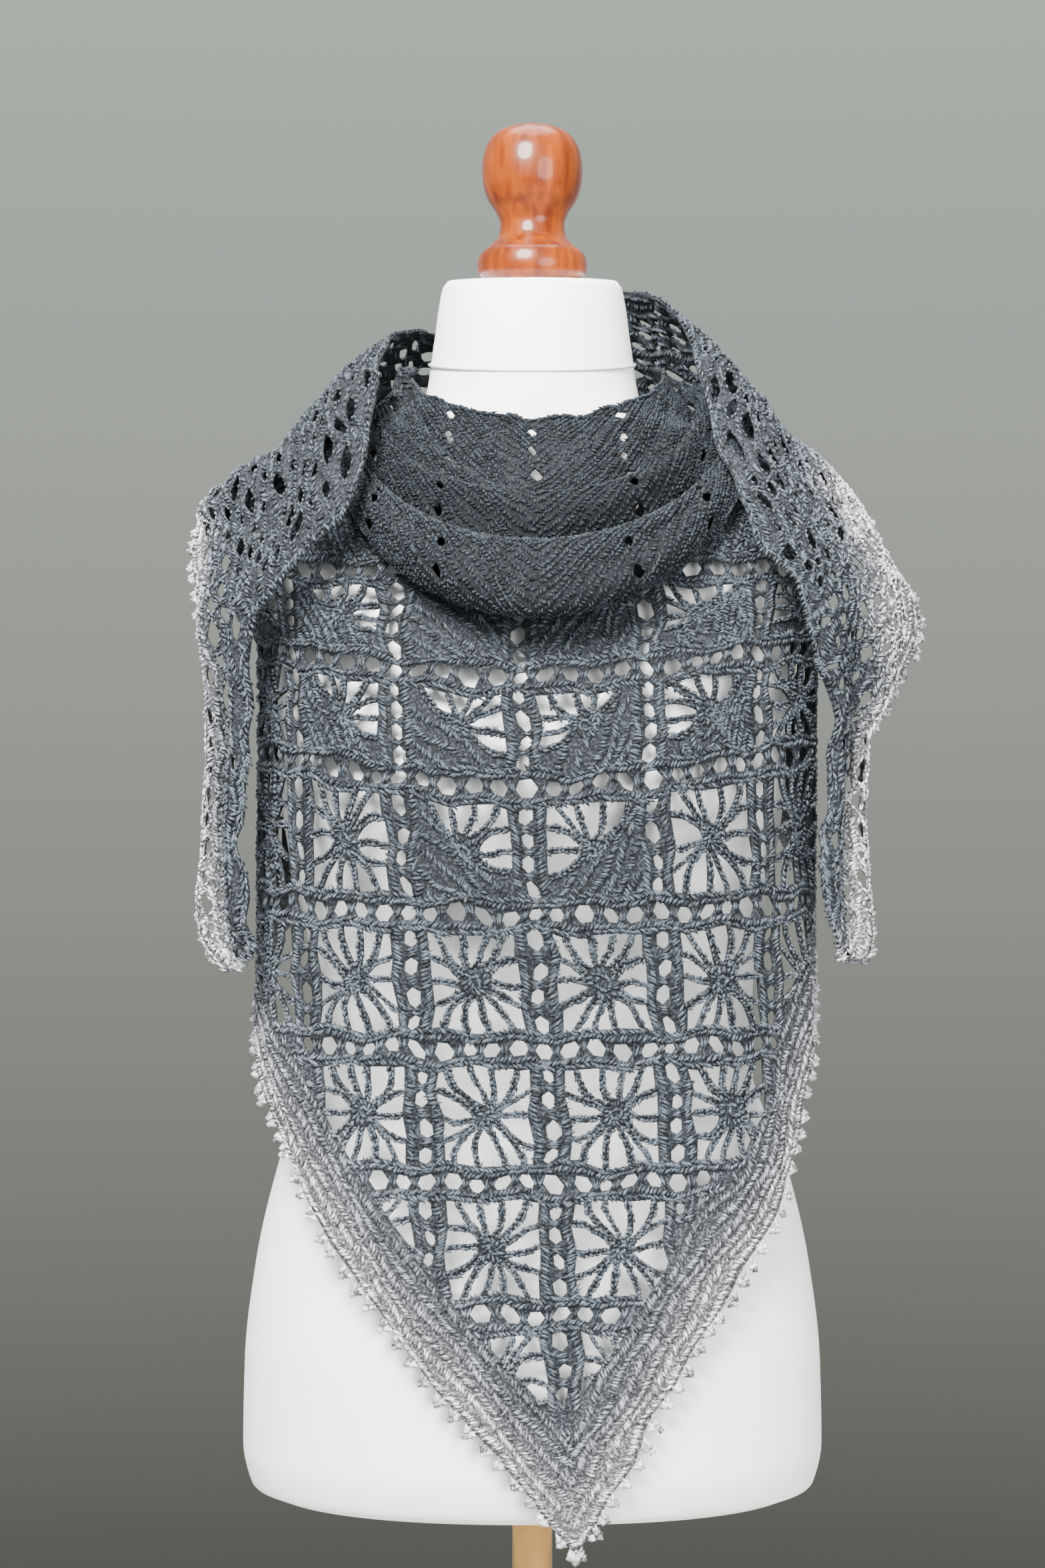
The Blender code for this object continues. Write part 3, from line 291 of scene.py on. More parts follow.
# Ends of the shawl: rows from behind the neck, over the shoulder and down to the tail's tip.
# A row holds a point of the neck edge, which is the shawl's long edge, a point of the bordered
# edge, and the heights of the crown and of the waves between them.
LEFT_DRAPE = (
    (0.0450, 0.0920, 0.9950, -0.0600, 0.1290, 0.7900, 0.004, 0.000),
    (0.0000, 0.0980, 1.0080, -0.1140, 0.1180, 0.8240, 0.004, 0.000),
    (-0.0460, 0.0900, 1.0200, -0.1540, 0.0960, 0.8600, 0.004, 0.001),
    (-0.0720, 0.0560, 1.0170, -0.1820, 0.0700, 0.8800, 0.005, 0.002),
    (-0.0860, 0.0150, 1.0080, -0.1980, 0.0400, 0.8930, 0.006, 0.003),
    (-0.0900, -0.0350, 0.9860, -0.2030, 0.0050, 0.8900, 0.006, 0.003),
    (-0.0930, -0.0800, 0.9480, -0.2050, -0.0180, 0.8780, 0.008, 0.003),
    (-0.1000, -0.1020, 0.9080, -0.2035, -0.0320, 0.8600, 0.010, 0.003),
    (-0.1200, -0.1110, 0.8740, -0.2005, -0.0430, 0.8420, 0.010, 0.003),
    (-0.1440, -0.1080, 0.8480, -0.1985, -0.0530, 0.8250, 0.009, 0.004),
    (-0.1620, -0.0980, 0.8260, -0.1935, -0.0620, 0.8050, 0.006, 0.005),
    (-0.1660, -0.0890, 0.7570, -0.1905, -0.0660, 0.7600, 0.003, 0.0055),
    (-0.1695, -0.0870, 0.6960, -0.1935, -0.0660, 0.6960, 0.002, 0.0055),
    (-0.1665, -0.0870, 0.6510, -0.1975, -0.0660, 0.6600, 0.002, 0.0055),
    (-0.1650, -0.0840, 0.6330, -0.1945, -0.0680, 0.6400, 0.002, 0.0040),
    (-0.1710, -0.0800, 0.6195, -0.1830, -0.0720, 0.6195, 0.001, 0.0010),
)
RIGHT_DRAPE = (
    (-0.0620, 0.1020, 1.0080, -0.0250, 0.1300, 0.9200, 0.003, 0.000),
    (-0.0100, 0.1040, 1.0340, 0.0450, 0.1240, 0.9130, 0.004, 0.000),
    (0.0450, 0.0800, 1.0450, 0.1180, 0.1060, 0.9060, 0.004, 0.001),
    (0.0700, 0.0480, 1.0400, 0.1620, 0.0830, 0.9030, 0.005, 0.002),
    (0.0900, 0.0120, 1.0180, 0.1960, 0.0420, 0.9030, 0.006, 0.003),
    (0.1010, -0.0300, 0.9760, 0.2040, 0.0050, 0.8960, 0.008, 0.003),
    (0.1090, -0.0580, 0.9350, 0.2085, -0.0130, 0.8820, 0.012, 0.003),
    (0.1146, -0.0780, 0.9120, 0.2140, -0.0220, 0.8680, 0.014, 0.003),
    (0.1236, -0.0900, 0.8890, 0.2240, -0.0280, 0.8500, 0.014, 0.003),
    (0.1305, -0.0970, 0.8700, 0.2325, -0.0340, 0.8340, 0.014, 0.003),
    (0.1462, -0.0980, 0.8532, 0.2300, -0.0400, 0.8120, 0.012, 0.003),
    (0.1580, -0.0950, 0.8320, 0.2200, -0.0460, 0.7950, 0.010, 0.004),
    (0.1665, -0.0890, 0.8047, 0.2090, -0.0520, 0.7720, 0.006, 0.005),
    (0.1745, -0.0830, 0.7670, 0.1965, -0.0600, 0.7520, 0.003, 0.0055),
    (0.1715, -0.0820, 0.7150, 0.1955, -0.0600, 0.7165, 0.002, 0.0055),
    (0.1680, -0.0820, 0.6770, 0.1985, -0.0600, 0.6720, 0.002, 0.0055),
    (0.1735, -0.0810, 0.6450, 0.2010, -0.0620, 0.6400, 0.002, 0.0040),
    (0.1850, -0.0770, 0.6240, 0.1980, -0.0690, 0.6220, 0.001, 0.0010),
)
DRAPE_WAVES = 1.5
DRAPE_STEP = 0.01
SHOULDER_ROW = 5
# Turned and straight pieces of the stand
FINIAL_COLUMNS = ("radius", "above")
FINIAL = (
    (0.0280, 0.0000),
    (0.0325, 0.0035),
    (0.0338, 0.0090),
    (0.0325, 0.0150),
    (0.0265, 0.0205),
    (0.0208, 0.0270),
    (0.0198, 0.0340),
    (0.0222, 0.0415),
    (0.0275, 0.0500),
    (0.0303, 0.0590),
    (0.0310, 0.0680),
    (0.0300, 0.0770),
    (0.0262, 0.0860),
    (0.0190, 0.0920),
    (0.0095, 0.0950),
)
FINIAL_Z = 1.0397
# Height in which the tilt of a turned piece's foot dies out
FOOT_SETTLES = 0.02
POLE_RADIUS = 0.0122
BASE_COLUMNS = ("radius", "above")
BASE = (
    (0.1480, 0.0000),
    (0.1500, 0.0030),
    (0.1480, 0.0080),
    (0.1200, 0.0150),
    (0.0500, 0.0210),
    (0.0240, 0.0260),
    (0.0200, 0.0380),
)

# A sheet is pushed clear of one that it has sunk into by less than this, and no further aside
REST_REACH = 0.030
REST_BESIDE = 0.006
SETTLE_ROUNDS = 3
# Long searches go in this many parts, to bound their memory
BATCHES = 32
# A step short enough to give a direction
NEAR_STEP = 1e-4

# The upper rows sag between the shoulders: how far they climb towards the sides, by height
SAG_COLUMNS = ("z", "climb")
SAG = (
    (0.600, 0.000),
    (0.660, 0.006),
    (0.730, 0.025),
    (0.785, 0.024),
    (0.850, 0.008),
    (0.905, 0.000),
)
SAG_SPREAD = 0.140

# Stitches, as (length, width, height) of one plump strand of yarn
LEAF = (0.0070, 0.0020, 0.0022)
SHORT = (0.0044, 0.0018, 0.0020)
CHAIN = (0.0047, 0.0021, 0.0023)
TREBLE = (0.0088, 0.0018, 0.0020)
CLUMP = (0.0092, 0.0021, 0.0022)
BOBBLE = (0.0058, 0.0052, 0.0048)
PICOT_LEAF = (0.0064, 0.0028, 0.0030)
# Handwork in each strand: how far it strays and turns, its share of full size, how deep it is
# seated, as a share of its height, and how far it is lifted. The cloth beneath is darkened as painted
# shade, the shade that falls between the strands.
STRAND_STRAY = 0.00028
STRAND_TURN = 0.17
STRAND_SHARE = (0.82, 1.16)
STRAND_SEAT = 0.25
STRAND_LIFT = 0.00015
GROUND_SHADE = -1.1
# Lifts of a strand that lies over others
RAISED = 3e-4
TOPMOST = 4e-4
# Spacing of the rows, and of the stitches in them
ROW_PITCH = 0.0064
LEAF_PITCH = 0.0020
SHORT_PITCH = 0.0021
SHORT_ROW = 0.0037
CHAIN_PITCH = 0.0022
LEAF_LEAN = math.radians(52)

# Half the width of a band between squares, and the bands' eyelets: five to a square each way, as
# (half width, half height). A lozenge is a web squeezed slim.
BAND = 0.0108
EYELETS_A_SQUARE = 5
ROW_EYELET = (0.0052, 0.0042)
COLUMN_EYELET = (0.0035, 0.0052)
COWL_EYELET = (0.0050, 0.0040)
COWL_SQUEEZE = (0.7, 1.0)
LOZENGE = (0.0034, 0.0060)
EYELET_FROM_BORDER = 0.006
EYELET_FROM_SIDE = 0.008
SIX_SIDED = np.array([(1, 0), (0.5, 1), (-0.5, 1), (-1, 0), (-0.5, -1), (0.5, -1)])
EIGHT_SIDED = np.array(
    [(-1, 0), (-0.6, -0.6), (0, -1), (0.6, -0.6), (1, 0), (0.6, 0.6), (0, 1), (-0.6, 0.6)]
)

# A web: where its fourteen arms leave the square, clockwise, and the sides that turn a corner
ARM_ENDS = (
    (-0.76, 1), (-0.26, 1), (0.26, 1), (0.76, 1),
    (1, 0.52), (1, 0.0), (1, -0.52),
    (0.76, -1), (0.26, -1), (-0.26, -1), (-0.76, -1),
    (-1, -0.52), (-1, 0.0), (-1, 0.52),
)
ARM_CORNERS = {3: (1, 1), 6: (1, -1), 10: (-1, -1), 13: (-1, 1)}
ARM_BEND = 0.50
ARM_FLARE = 0.80
ARM_POINTS = 9
ARM_HALF = 0.0014
ARM_STRAY = 0.0008
HUB_RADIUS = 0.0078
HUB_RINGS = ((0.0058, LEAF, 0.35), (0.0028, CHAIN, 1.1))
# In a half web, how squarely a gap and an arm have to face the open corner. Smaller gaps than the
# least are closed.
HALF_GAP_FACING = 0.35
HALF_ARM_FACING = 0.10
GAP_FROM_SIDE = 0.004
GAP_LEAST = 8e-6
# Plain rows run up to a square's edge, and in a half web to its diagonal
SQUARE_REACH = 1.02
DIAGONAL = -0.05
# An arm's braid: how far its two rows lie aside, and how far they turn
BRAID_ASIDE = 0.0010
BRAID_TURN = 0.5
# Ridges reach this far in from the bordered edge. A leaf is left out where a hole is within its
# half.
RIDGES_REACH = 0.62
LEAF_HALF = 0.0030
# Herringbone rows beside a row of eyelets, as (off its middle, lean), the three strands of a post
# between eyelets, and the clumps beside an upright column
HERRINGBONE = ((0.0064, 0.75), (0.0094, -0.75))
POST_SPREAD = 0.0013
POST_LEAN = 0.2
CLUMP_OFF = 0.0074
CLUMP_LEAN = 0.62
CLUMP_FROM_ROW = 0.0095
# How close a strand comes to the side of its stretch of cloth
SIDE_ROOM = 0.0005

# Unevenness of the handwork, as plane waves over the cloth: radians for each metre across and up,
# phase, and how far each shifts the cloth across and up
UNEVEN = (
    (170.0, 60.0, 0.3, 0.0009, 0.0011),
    (-70.0, 190.0, 1.7, 0.0010, -0.0008),
    (110.0, -140.0, 4.0, -0.0008, 0.0012),
    (400.0, 290.0, 2.2, 0.0004, 0.0004),
)

# How pale the yarn is at a depth in from the bordered edge: 0 dark slate, 1 pale lilac grey
TONE_DEPTH = (0.000, 0.008, 0.016, 0.040, 0.080, 0.130, 0.220, 0.360)
TONE = (1.00, 0.96, 0.74, 0.55, 0.44, 0.38, 0.31, 0.25)

# The floor: its near and far side and half its width. The backdrop's painted shade, which darkens it
# towards its foot as the light falls off, spreads over a rise
FLOOR_REACH = (-2.5, 0.86, 2.5)
BACKDROP_SHADE_RISE = 0.27

# An end of the shawl: gathered narrow over the shoulder and in the tail, so between two widths
# its webs start further in and its tones are spread wider
GATHERED = (0.05, 0.16)
GATHERED_BORDER = 0.011
GATHERED_TONE = 2.4
LOZENGE_ROWS = 18
LOZENGE_PITCH = (0.0102, 0.016)
LOZENGE_STRAY = 0.0008
LOZENGE_SHARE = (0.45, 1.2)
RIM_PITCH = 0.0026
RIM_OFF = 0.0008
END_LEAF_HALF = 0.0026
NECK_EDGE_ROWS = ((0.0012, 0.4), (0.0028, -0.4))
LINING_PITCH = LEAF_PITCH * 1.3
LINING_LENGTH = 0.42
LINING_INSET = 0.05

# How pale a fold of the cowl is over its profile, from its lip to where it is tucked away: painted
# light, a painted highlight on its crest and painted shade down to its tucked edge, as a share of each
# fold's own tone
TUCK = (0.00, 0.30, 0.75, 1.00)
TUCK_PAINTED_LIGHT = (1.4, 2.0, 0.9, 0.1)
COWL_TONES = {"neck_band": 0.04, "cowl_roll": 0.02, "cowl_drop": 0.05}

# The darkest that the speckle makes a colour, as a share of it
SPECKLE_LEAST = 0.15
# Spacing of the inner points of the folds and the ends
COWL_STEP = 0.005
END_STEP = 0.006
# Sides of a turned piece and of the form
FORM_SIDES = 112
FINIAL_SIDES = 64
FOOT_SIDES = 96
POLE_SIDES = 48
CORD_SIDES = 6
# The room that the pole keeps from the foot and the form
POLE_ROOM = 0.0003
# Lights, as (name, place, size, watts), and where they aim
LIGHTS = (
    ("key", (-0.40, -1.25, 1.80), 0.8, 150.0),
    ("fill", (1.2, -2.1, 1.1), 1.6, 72.0),
    ("crown", (0.0, 0.1, 2.4), 1.4, 46.0),
)
LIGHT_AIM = (0.0, 0.0, 0.75)


def column(table, names, name):
    """One named column of a table, as an array."""
    return np.array([row[names.index(name)] for row in table], float)


def flow(at, knots, values):
    """A smooth curve through a table's values that never overshoots them."""
    at = np.clip(at, knots[0], knots[-1])
    gap = np.diff(knots)
    rise = np.diff(values) / gap
    slope = np.zeros(len(values))
    product = rise[1:] * rise[:-1]
    total = np.where(np.abs(rise[1:] + rise[:-1]) < 1e-12, 1.0, rise[1:] + rise[:-1])
    slope[1:-1] = np.where(product > 0, 2 * product / total, 0.0)
    slope[0], slope[-1] = rise[0], rise[-1]
    low = np.clip(np.searchsorted(knots, at, side="right") - 1, 0, len(knots) - 2)
    t = (at - knots[low]) / gap[low]
    start = values[low] * (2 * t**3 - 3 * t**2 + 1) + values[low + 1] * (3 * t**2 - 2 * t**3)
    bend = slope[low] * (t**3 - 2 * t**2 + t) + slope[low + 1] * (t**3 - t**2)
    return start + gap[low] * bend


def read_off(at, table, names):
    """Smooth values of every column but the first, where the first has the values given."""
    knots = column(table, names, names[0])
    return [flow(at, knots, column(table, names, name)) for name in names[1:]]


def flow_rows(at, table):
    """A smooth path through a table's rows, one row for each whole number."""
    rows = np.array(table, float)
    knots = np.arange(len(rows), dtype=float)
    return np.stack([flow(at, knots, rows[:, i]) for i in range(rows.shape[1])], axis=-1)


def pairs(a, b):
    """Rows of (a, b), from two arrays or an array and a number."""
    return np.stack(np.broadcast_arrays(a, b), -1)


def running(steps):
    """How far along a path each of its points lies, from the lengths of its steps."""
    return np.concatenate([[0.0], np.cumsum(steps)])


def right_of(headings):
    """Headings turned a quarter clockwise."""
    return pairs(headings[:, 1], -headings[:, 0])


def eased(share, most):
    """A smooth rise from 0 to the most, as the share goes from 0 to 1."""
    return most * share * share * (3 - 2 * share)


def oval(angle, left, right, front, back, fullness):
    """A full oval whose four half-axes differ. The angle is 0 in front and grows to the right."""
    across, along = np.sin(angle), -np.cos(angle)
    power = 2.0 / fullness
    x = np.sign(across) * np.abs(across) ** power * np.where(across < 0, left, right)
    y = np.sign(along) * np.abs(along) ** power * np.where(along < 0, front, back)
    return x, y


def form_ring(z, sides):
    """The dress form's level section at one height: an oval swelled in front."""
    half, front, back, fullness = read_off(z, FORM, FORM_COLUMNS)
    angle = np.linspace(0, 2 * math.pi, sides, endpoint=False)
    x, y = oval(angle, half, half, front, back, fullness)
    swell = np.exp(-(((z - BUST_Z) / BUST_SPREAD) ** 2))
    swell = swell * np.exp(-(((np.abs(x) - BUST_X) / BUST_SPREAD) ** 2))
    y = np.where(y < 0, y - BUST_SWELL * swell, y)
    tilt = NECK_TILT * max(0.0, z - NECK_TILT_FROM) / (FORM[-1][0] - NECK_TILT_FROM)
    return np.stack([x, y, z + tilt * y], axis=-1)


def crease_depth(creases, across, up):
    """How far the cloth stands out at chart points: a sum of soft ridges, each longer than wide."""
    depth = np.zeros_like(across)
    for middle, height, lean, length, width, most in creases:
        side = (across - middle) - lean * (up - height)
        along = (up - height) / length
        depth = depth + most * np.exp(-((side / width) ** 2) - along**2 * 2)
    return depth


class Shell:
    """The cloth that hangs round the form, as a surface over (cloth length from the spine, height).

    Each level section is an oval measured along its own length, from the spine to either side.
    Above the shoulders the sections shrink, and the lengths with them.
    """

    reach = 0.80
    columns = 641
    rows = 281

    def __init__(self, lift_side=0):
        self.away = np.linspace(-self.reach, self.reach, self.columns)
        self.heights = np.linspace(SHELL[0][0], SHELL[-1][0], self.rows)
        angle = np.linspace(-2 * math.pi, 2 * math.pi, SECTION_POINTS)
        points, shoulder_girth = [], 0.0
        for z in self.heights:
            x, y = oval(angle, *read_off(z, SHELL, SHELL_COLUMNS), SHELL_FULLNESS)
            along = running(np.hypot(np.diff(x), np.diff(y)))
            (spine,) = read_off(z, SPINE, SPINE_COLUMNS)
            front_half = np.abs(angle) < math.pi / 2
            start = np.interp(spine, x[front_half], along[front_half])
            girth = along[-1] / 2
            shoulder_girth = girth if z < SHOULDER_Z else shoulder_girth
            place = start + self.away * min(1.0, girth / shoulder_girth)
            points.append(np.stack([np.interp(place, along, x), np.interp(place, along, y)], -1))
        flat = np.array(points)
        z = np.repeat(self.heights[:, None], self.columns, axis=1)
        self.points = np.concatenate([flat, z[..., None]], axis=2)
        away = np.repeat(self.away[None, :], self.rows, axis=0)
        lift = crease_depth(CREASES, away, z)
        if lift_side:
            onset = np.clip((away * lift_side - PANEL_HALF) / WING_LIFT_RUN, 0, 1)
            lift = lift + eased(onset, WING_LIFT)
        self.points = self.points + self.grid_normals() * lift[..., None]
        self.normals = self.grid_normals()

    def grid_normals(self):
        """Outward unit normals of the grid of points."""
        by_height, by_length = np.gradient(self.points, axis=(0, 1))
        normal = np.cross(by_length, by_height)
        return normal / np.linalg.norm(normal, axis=2, keepdims=True)

    def __call__(self, chart):
        """Points and outward normals at rows of (length from the spine, height)."""
        chart = np.asarray(chart, float)
        i = (chart[:, 1] - self.heights[0]) / (self.heights[1] - self.heights[0])
        j = (chart[:, 0] - self.away[0]) / (self.away[1] - self.away[0])
        return blend_grid(self.points, i, j), unit(blend_grid(self.normals, i, j))


def blend_grid(grid, i, j):
    """Values of a grid at fractional rows i and columns j, blended from four and carried on past
    the grid's sides in straight lines."""
    low_i = np.clip(np.floor(i).astype(int), 0, grid.shape[0] - 2)
    low_j = np.clip(np.floor(j).astype(int), 0, grid.shape[1] - 2)
    a, b = (i - low_i)[:, None], (j - low_j)[:, None]
    near = grid[low_i, low_j] * (1 - b) + grid[low_i, low_j + 1] * b
    far = grid[low_i + 1, low_j] * (1 - b) + grid[low_i + 1, low_j + 1] * b
    return near * (1 - a) + far * a


def unit(vectors):
    """The vectors at length one."""
    return vectors / np.maximum(np.linalg.norm(vectors, axis=-1, keepdims=True), 1e-12)


def rest_on(points, beneath, gap):
    """Points pushed out along the facing of the nearest point beneath, to clear it by a gap."""
    base, facing = beneath
    square = (base**2).sum(1).astype(np.float32)
    twice = 2 * base.T.astype(np.float32)
    moved = []
    for part in np.array_split(points.reshape(-1, 3), BATCHES):
        near = (square - part.astype(np.float32) @ twice).argmin(1)
        away, out = part - base[near], facing[near]
        above = (away * out).sum(1)
        beside = np.linalg.norm(away - above[:, None] * out, axis=1)
        low = (above < gap) & (above > -REST_REACH) & (beside < REST_BESIDE)
        moved.append(part + out * np.where(low, gap - above, 0.0)[:, None])
    return np.concatenate(moved).reshape(points.shape)


def softened(points):
    """A grid of points with small kinks smoothed out, its border left where it is."""
    soft = points.copy()
    around = points[:-2, 1:-1] + points[2:, 1:-1] + points[1:-1, :-2] + points[1:-1, 2:]
    soft[1:-1, 1:-1] = points[1:-1, 1:-1] * 0.5 + around * 0.125
    return soft


class Patch:
    """A surface over (across, along) in 0..1, from a function that gives its points.

    It rests on the sheets that it is given, each with the gap to keep from it.
    """

    def __init__(self, place, across=65, along=161, flip=False, under=()):
        s, t = np.meshgrid(np.linspace(0, 1, across), np.linspace(0, 1, along), indexing="ij")
        self.points = place(s.ravel(), t.ravel()).reshape(across, along, 3)
        for _ in range(SETTLE_ROUNDS if under else 0):
            for beneath, gap in under:
                self.points = rest_on(self.points, beneath, gap)
            self.points = softened(self.points)
        for beneath, gap in under:
            self.points = rest_on(self.points, beneath, gap)
        self.flip = flip
        self.normals = self.facing()

    def facing(self):
        """Outward unit normals, square to both directions of the grid."""
        by_across, by_along = np.gradient(self.points, axis=(0, 1))
        normal = np.cross(by_across, by_along)
        return unit(-normal if self.flip else normal)

    def crease(self, heights):
        """Moves the grid's points out along their normals by a height each."""
        self.points = self.points + self.normals * heights[..., None]
        self.normals = self.facing()

    def cover(self):
        """The patch as points and outward normals, for a sheet that lies over it."""
        return self.points.reshape(-1, 3), self.normals.reshape(-1, 3)

    def __call__(self, chart):
        """Points and outward normals at rows of (across, along)."""
        chart = np.asarray(chart, float)
        i = chart[:, 0] * (self.points.shape[0] - 1)
        j = chart[:, 1] * (self.points.shape[1] - 1)
        return blend_grid(self.points, i, j), unit(blend_grid(self.normals, i, j))


def leftward(table):
    """Whether an end goes over the left shoulder."""
    return table[SHOULDER_ROW][0] < 0


def drape_place(table):
    """The surface of one shawl end: straight from neck edge to bordered edge, crowned and waved."""

    def place(s, t):
        rows = flow_rows(t * (len(table) - 1), table)
        ahead = flow_rows(np.minimum(t + DRAPE_STEP, 1) * (len(table) - 1), table)
        behind = flow_rows(np.maximum(t - DRAPE_STEP, 0) * (len(table) - 1), table)
        inner, outer = rows[:, 0:3], rows[:, 3:6]
        heading = (ahead[:, 0:3] + ahead[:, 3:6]) - (behind[:, 0:3] + behind[:, 3:6])
        out = unit(np.cross(outer - inner, heading))
        out = out if leftward(table) else -out
        rise = rows[:, 6] * 4 * s * (1 - s)
        wave = rows[:, 7] * np.sin(2 * math.pi * DRAPE_WAVES * s)
        return inner + (outer - inner) * s[:, None] + out * (rise + wave)[:, None]

    return place


def cowl_place(table, smooth=True):
    """A fold of the cowl: its profile sweeps round the neck, lowest in front."""

    def place(s, t):
        at = s * (len(table) - 1)
        if smooth:
            profile = flow_rows(at, table)
        else:
            rows = np.arange(len(table))
            profile = np.stack([np.interp(at, rows, c) for c in np.array(table).T], axis=-1)
        turn = (t * 2 - 1) * COWL_TURN
        side = np.abs(np.sin(turn))
        front = np.clip(np.cos(turn), 0, 1)
        behind = np.clip(-np.cos(turn), 0, 1)
        x = np.where(turn < 0, -1.0, COWL_WIDER_RIGHT) * profile[:, 2] * side
        y = COWL_SIDE_Y - (profile[:, 0] + COWL_SIDE_Y) * front
        y = y + profile[:, 2] * COWL_BACK_OUT * behind
        z = profile[:, 1] * front + profile[:, 3] * (1 - front) + COWL_BACK_RISE * behind
        return np.stack([x, y, z], axis=-1)

    return place


def edge_height(away):
    """Height of the shawl's lower edge at a signed cloth length from the spine."""
    left, right = read_off(np.abs(away), EDGE, EDGE_COLUMNS)
    return np.where(np.asarray(away) < 0, left, right)


def inside(points, polygon):
    """Which points lie in a polygon, by counting the sides that a level ray crosses."""
    polygon = np.asarray(polygon, float)
    x, y = points[:, 0][:, None], points[:, 1][:, None]
    ax, ay = polygon[:, 0][None, :], polygon[:, 1][None, :]
    bx, by = np.roll(polygon[:, 0], -1)[None, :], np.roll(polygon[:, 1], -1)[None, :]
    crosses = (ay > y) != (by > y)
    run = np.where(np.abs(by - ay) < 1e-15, 1e-15, by - ay)
    left_of = x < (bx - ax) * (y - ay) / run + ax
    return (crosses & left_of).sum(axis=1) % 2 == 1


def panel_top(away):
    """Height of the panel's hidden upper edge, low behind the cowl and high at the shoulders."""
    share = np.clip(np.abs(away) / PANEL_TOP_SPREAD, 0, 1)
    return PANEL_TOP_LOW + eased(share, SHELL_TOP - PANEL_TOP_LOW)


def turned_by(heading, angle):
    """Chart headings turned anticlockwise by an angle each."""
    c, s = np.cos(angle), np.sin(angle)
    return np.stack(
        [heading[:, 0] * c - heading[:, 1] * s, heading[:, 0] * s + heading[:, 1] * c], -1
    )


def in_any(points, polygons):
    """Which points lie in any of the polygons."""
    hit = np.zeros(len(points), bool)
    for polygon in polygons:
        low, high = polygon.min(0), polygon.max(0)
        near = np.flatnonzero(((points > low) & (points < high)).all(axis=1))
        if len(near):
            hit[near] |= inside(points[near], polygon)
    return hit


def trimmed(polygon, keep):
    """The part of a polygon where the values at its corners are above zero, cut straight."""
    after, keep_after = np.roll(polygon, -1, 0), np.roll(keep, -1)
    corners = []
    for i in range(len(polygon)):
        if keep[i] > 0:
            corners.append(polygon[i])
        if (keep[i] > 0) != (keep_after[i] > 0):
            share = keep[i] / (keep[i] - keep_after[i])
            corners.append(polygon[i] + (after[i] - polygon[i]) * share)
    return np.array(corners)


def polygon_area(polygon):
    """Area of a polygon: half the sum of the crossed products of its corners."""
    x, y = polygon.T
    return abs(np.dot(x, np.roll(y, -1)) - np.dot(y, np.roll(x, -1))) / 2


def tone_at(depth):
    """How pale the yarn is at a depth in from the bordered edge."""
    return np.interp(depth, TONE_DEPTH, TONE)


class Strands:
    """Yarn strands laid on a cloth: place and heading in its chart, size, lift and tone of each."""

    def __init__(self):
        self.rows = []

    def add(self, centres, headings, size, tone, lift=0.0):
        """Adds strands of one size."""
        centres = np.asarray(centres, float).reshape(-1, 2)
        count = len(centres)
        if count:
            self.rows.append(
                np.hstack(
                    [
                        centres,
                        unit(np.asarray(headings, float).reshape(-1, 2)),
                        np.tile(size, (count, 1)),
                        np.full((count, 1), lift),
                        np.broadcast_to(tone, count)[:, None],
                    ]
                )
            )

    def all(self):
        """Every strand as one array of rows."""
        return np.concatenate(self.rows)


# A plump strand along x: a ring of four corners and two dropped tips
STRAND = np.array(
    [(0, 0.5, 0), (0, 0, 0.5), (0, -0.5, 0), (0, 0, -0.5), (-0.5, 0, -0.22), (0.5, 0, -0.22)]
)
STRAND_FACES = np.array(
    [(1, 0, 4), (0, 1, 5), (2, 1, 4), (1, 2, 5), (3, 2, 4), (2, 3, 5), (0, 3, 4), (3, 0, 5)]
)


def strand_mesh(surface, rows, seed, inward=False):
    """Corners, triangles, tone and fleck of strands. A strand's corner lies at the surface's point
    plus length along the heading, width across it and height along the normal."""
    chance = np.random.default_rng(seed)
    count = len(rows)
    chart = rows[:, 0:2] + chance.normal(0, STRAND_STRAY, (count, 2))
    heading = turned_by(rows[:, 2:4], chance.normal(0, STRAND_TURN, count))
    size = rows[:, 4:7] * chance.uniform(*STRAND_SHARE, (count, 1))
    middle, normal = surface(chart)
    ahead, _ = surface(chart + heading * 0.001)
    normal = -normal if inward else normal
    run = ahead - middle
    run = unit(run - normal * (run * normal).sum(1, keepdims=True))
    across = np.cross(normal, run)
    middle = middle + normal * (WALL / 2 + rows[:, 7:8] + size[:, 2:3] * STRAND_SEAT)
    middle = middle + normal * chance.normal(0, STRAND_LIFT, (count, 1))
    points = (
        middle[:, None, :]
        + STRAND[None, :, 0:1] * size[:, None, 0:1] * run[:, None, :]
        + STRAND[None, :, 1:2] * size[:, None, 1:2] * across[:, None, :]
        + STRAND[None, :, 2:3] * size[:, None, 2:3] * normal[:, None, :]
    )
    first = np.arange(count)[:, None, None] * len(STRAND)
    return (
        points.reshape(-1, 3),
        (STRAND_FACES[None] + first).reshape(-1, 3),
        np.repeat(rows[:, 8], len(STRAND)),
        np.repeat(chance.uniform(-1, 1, count), len(STRAND)),
    )


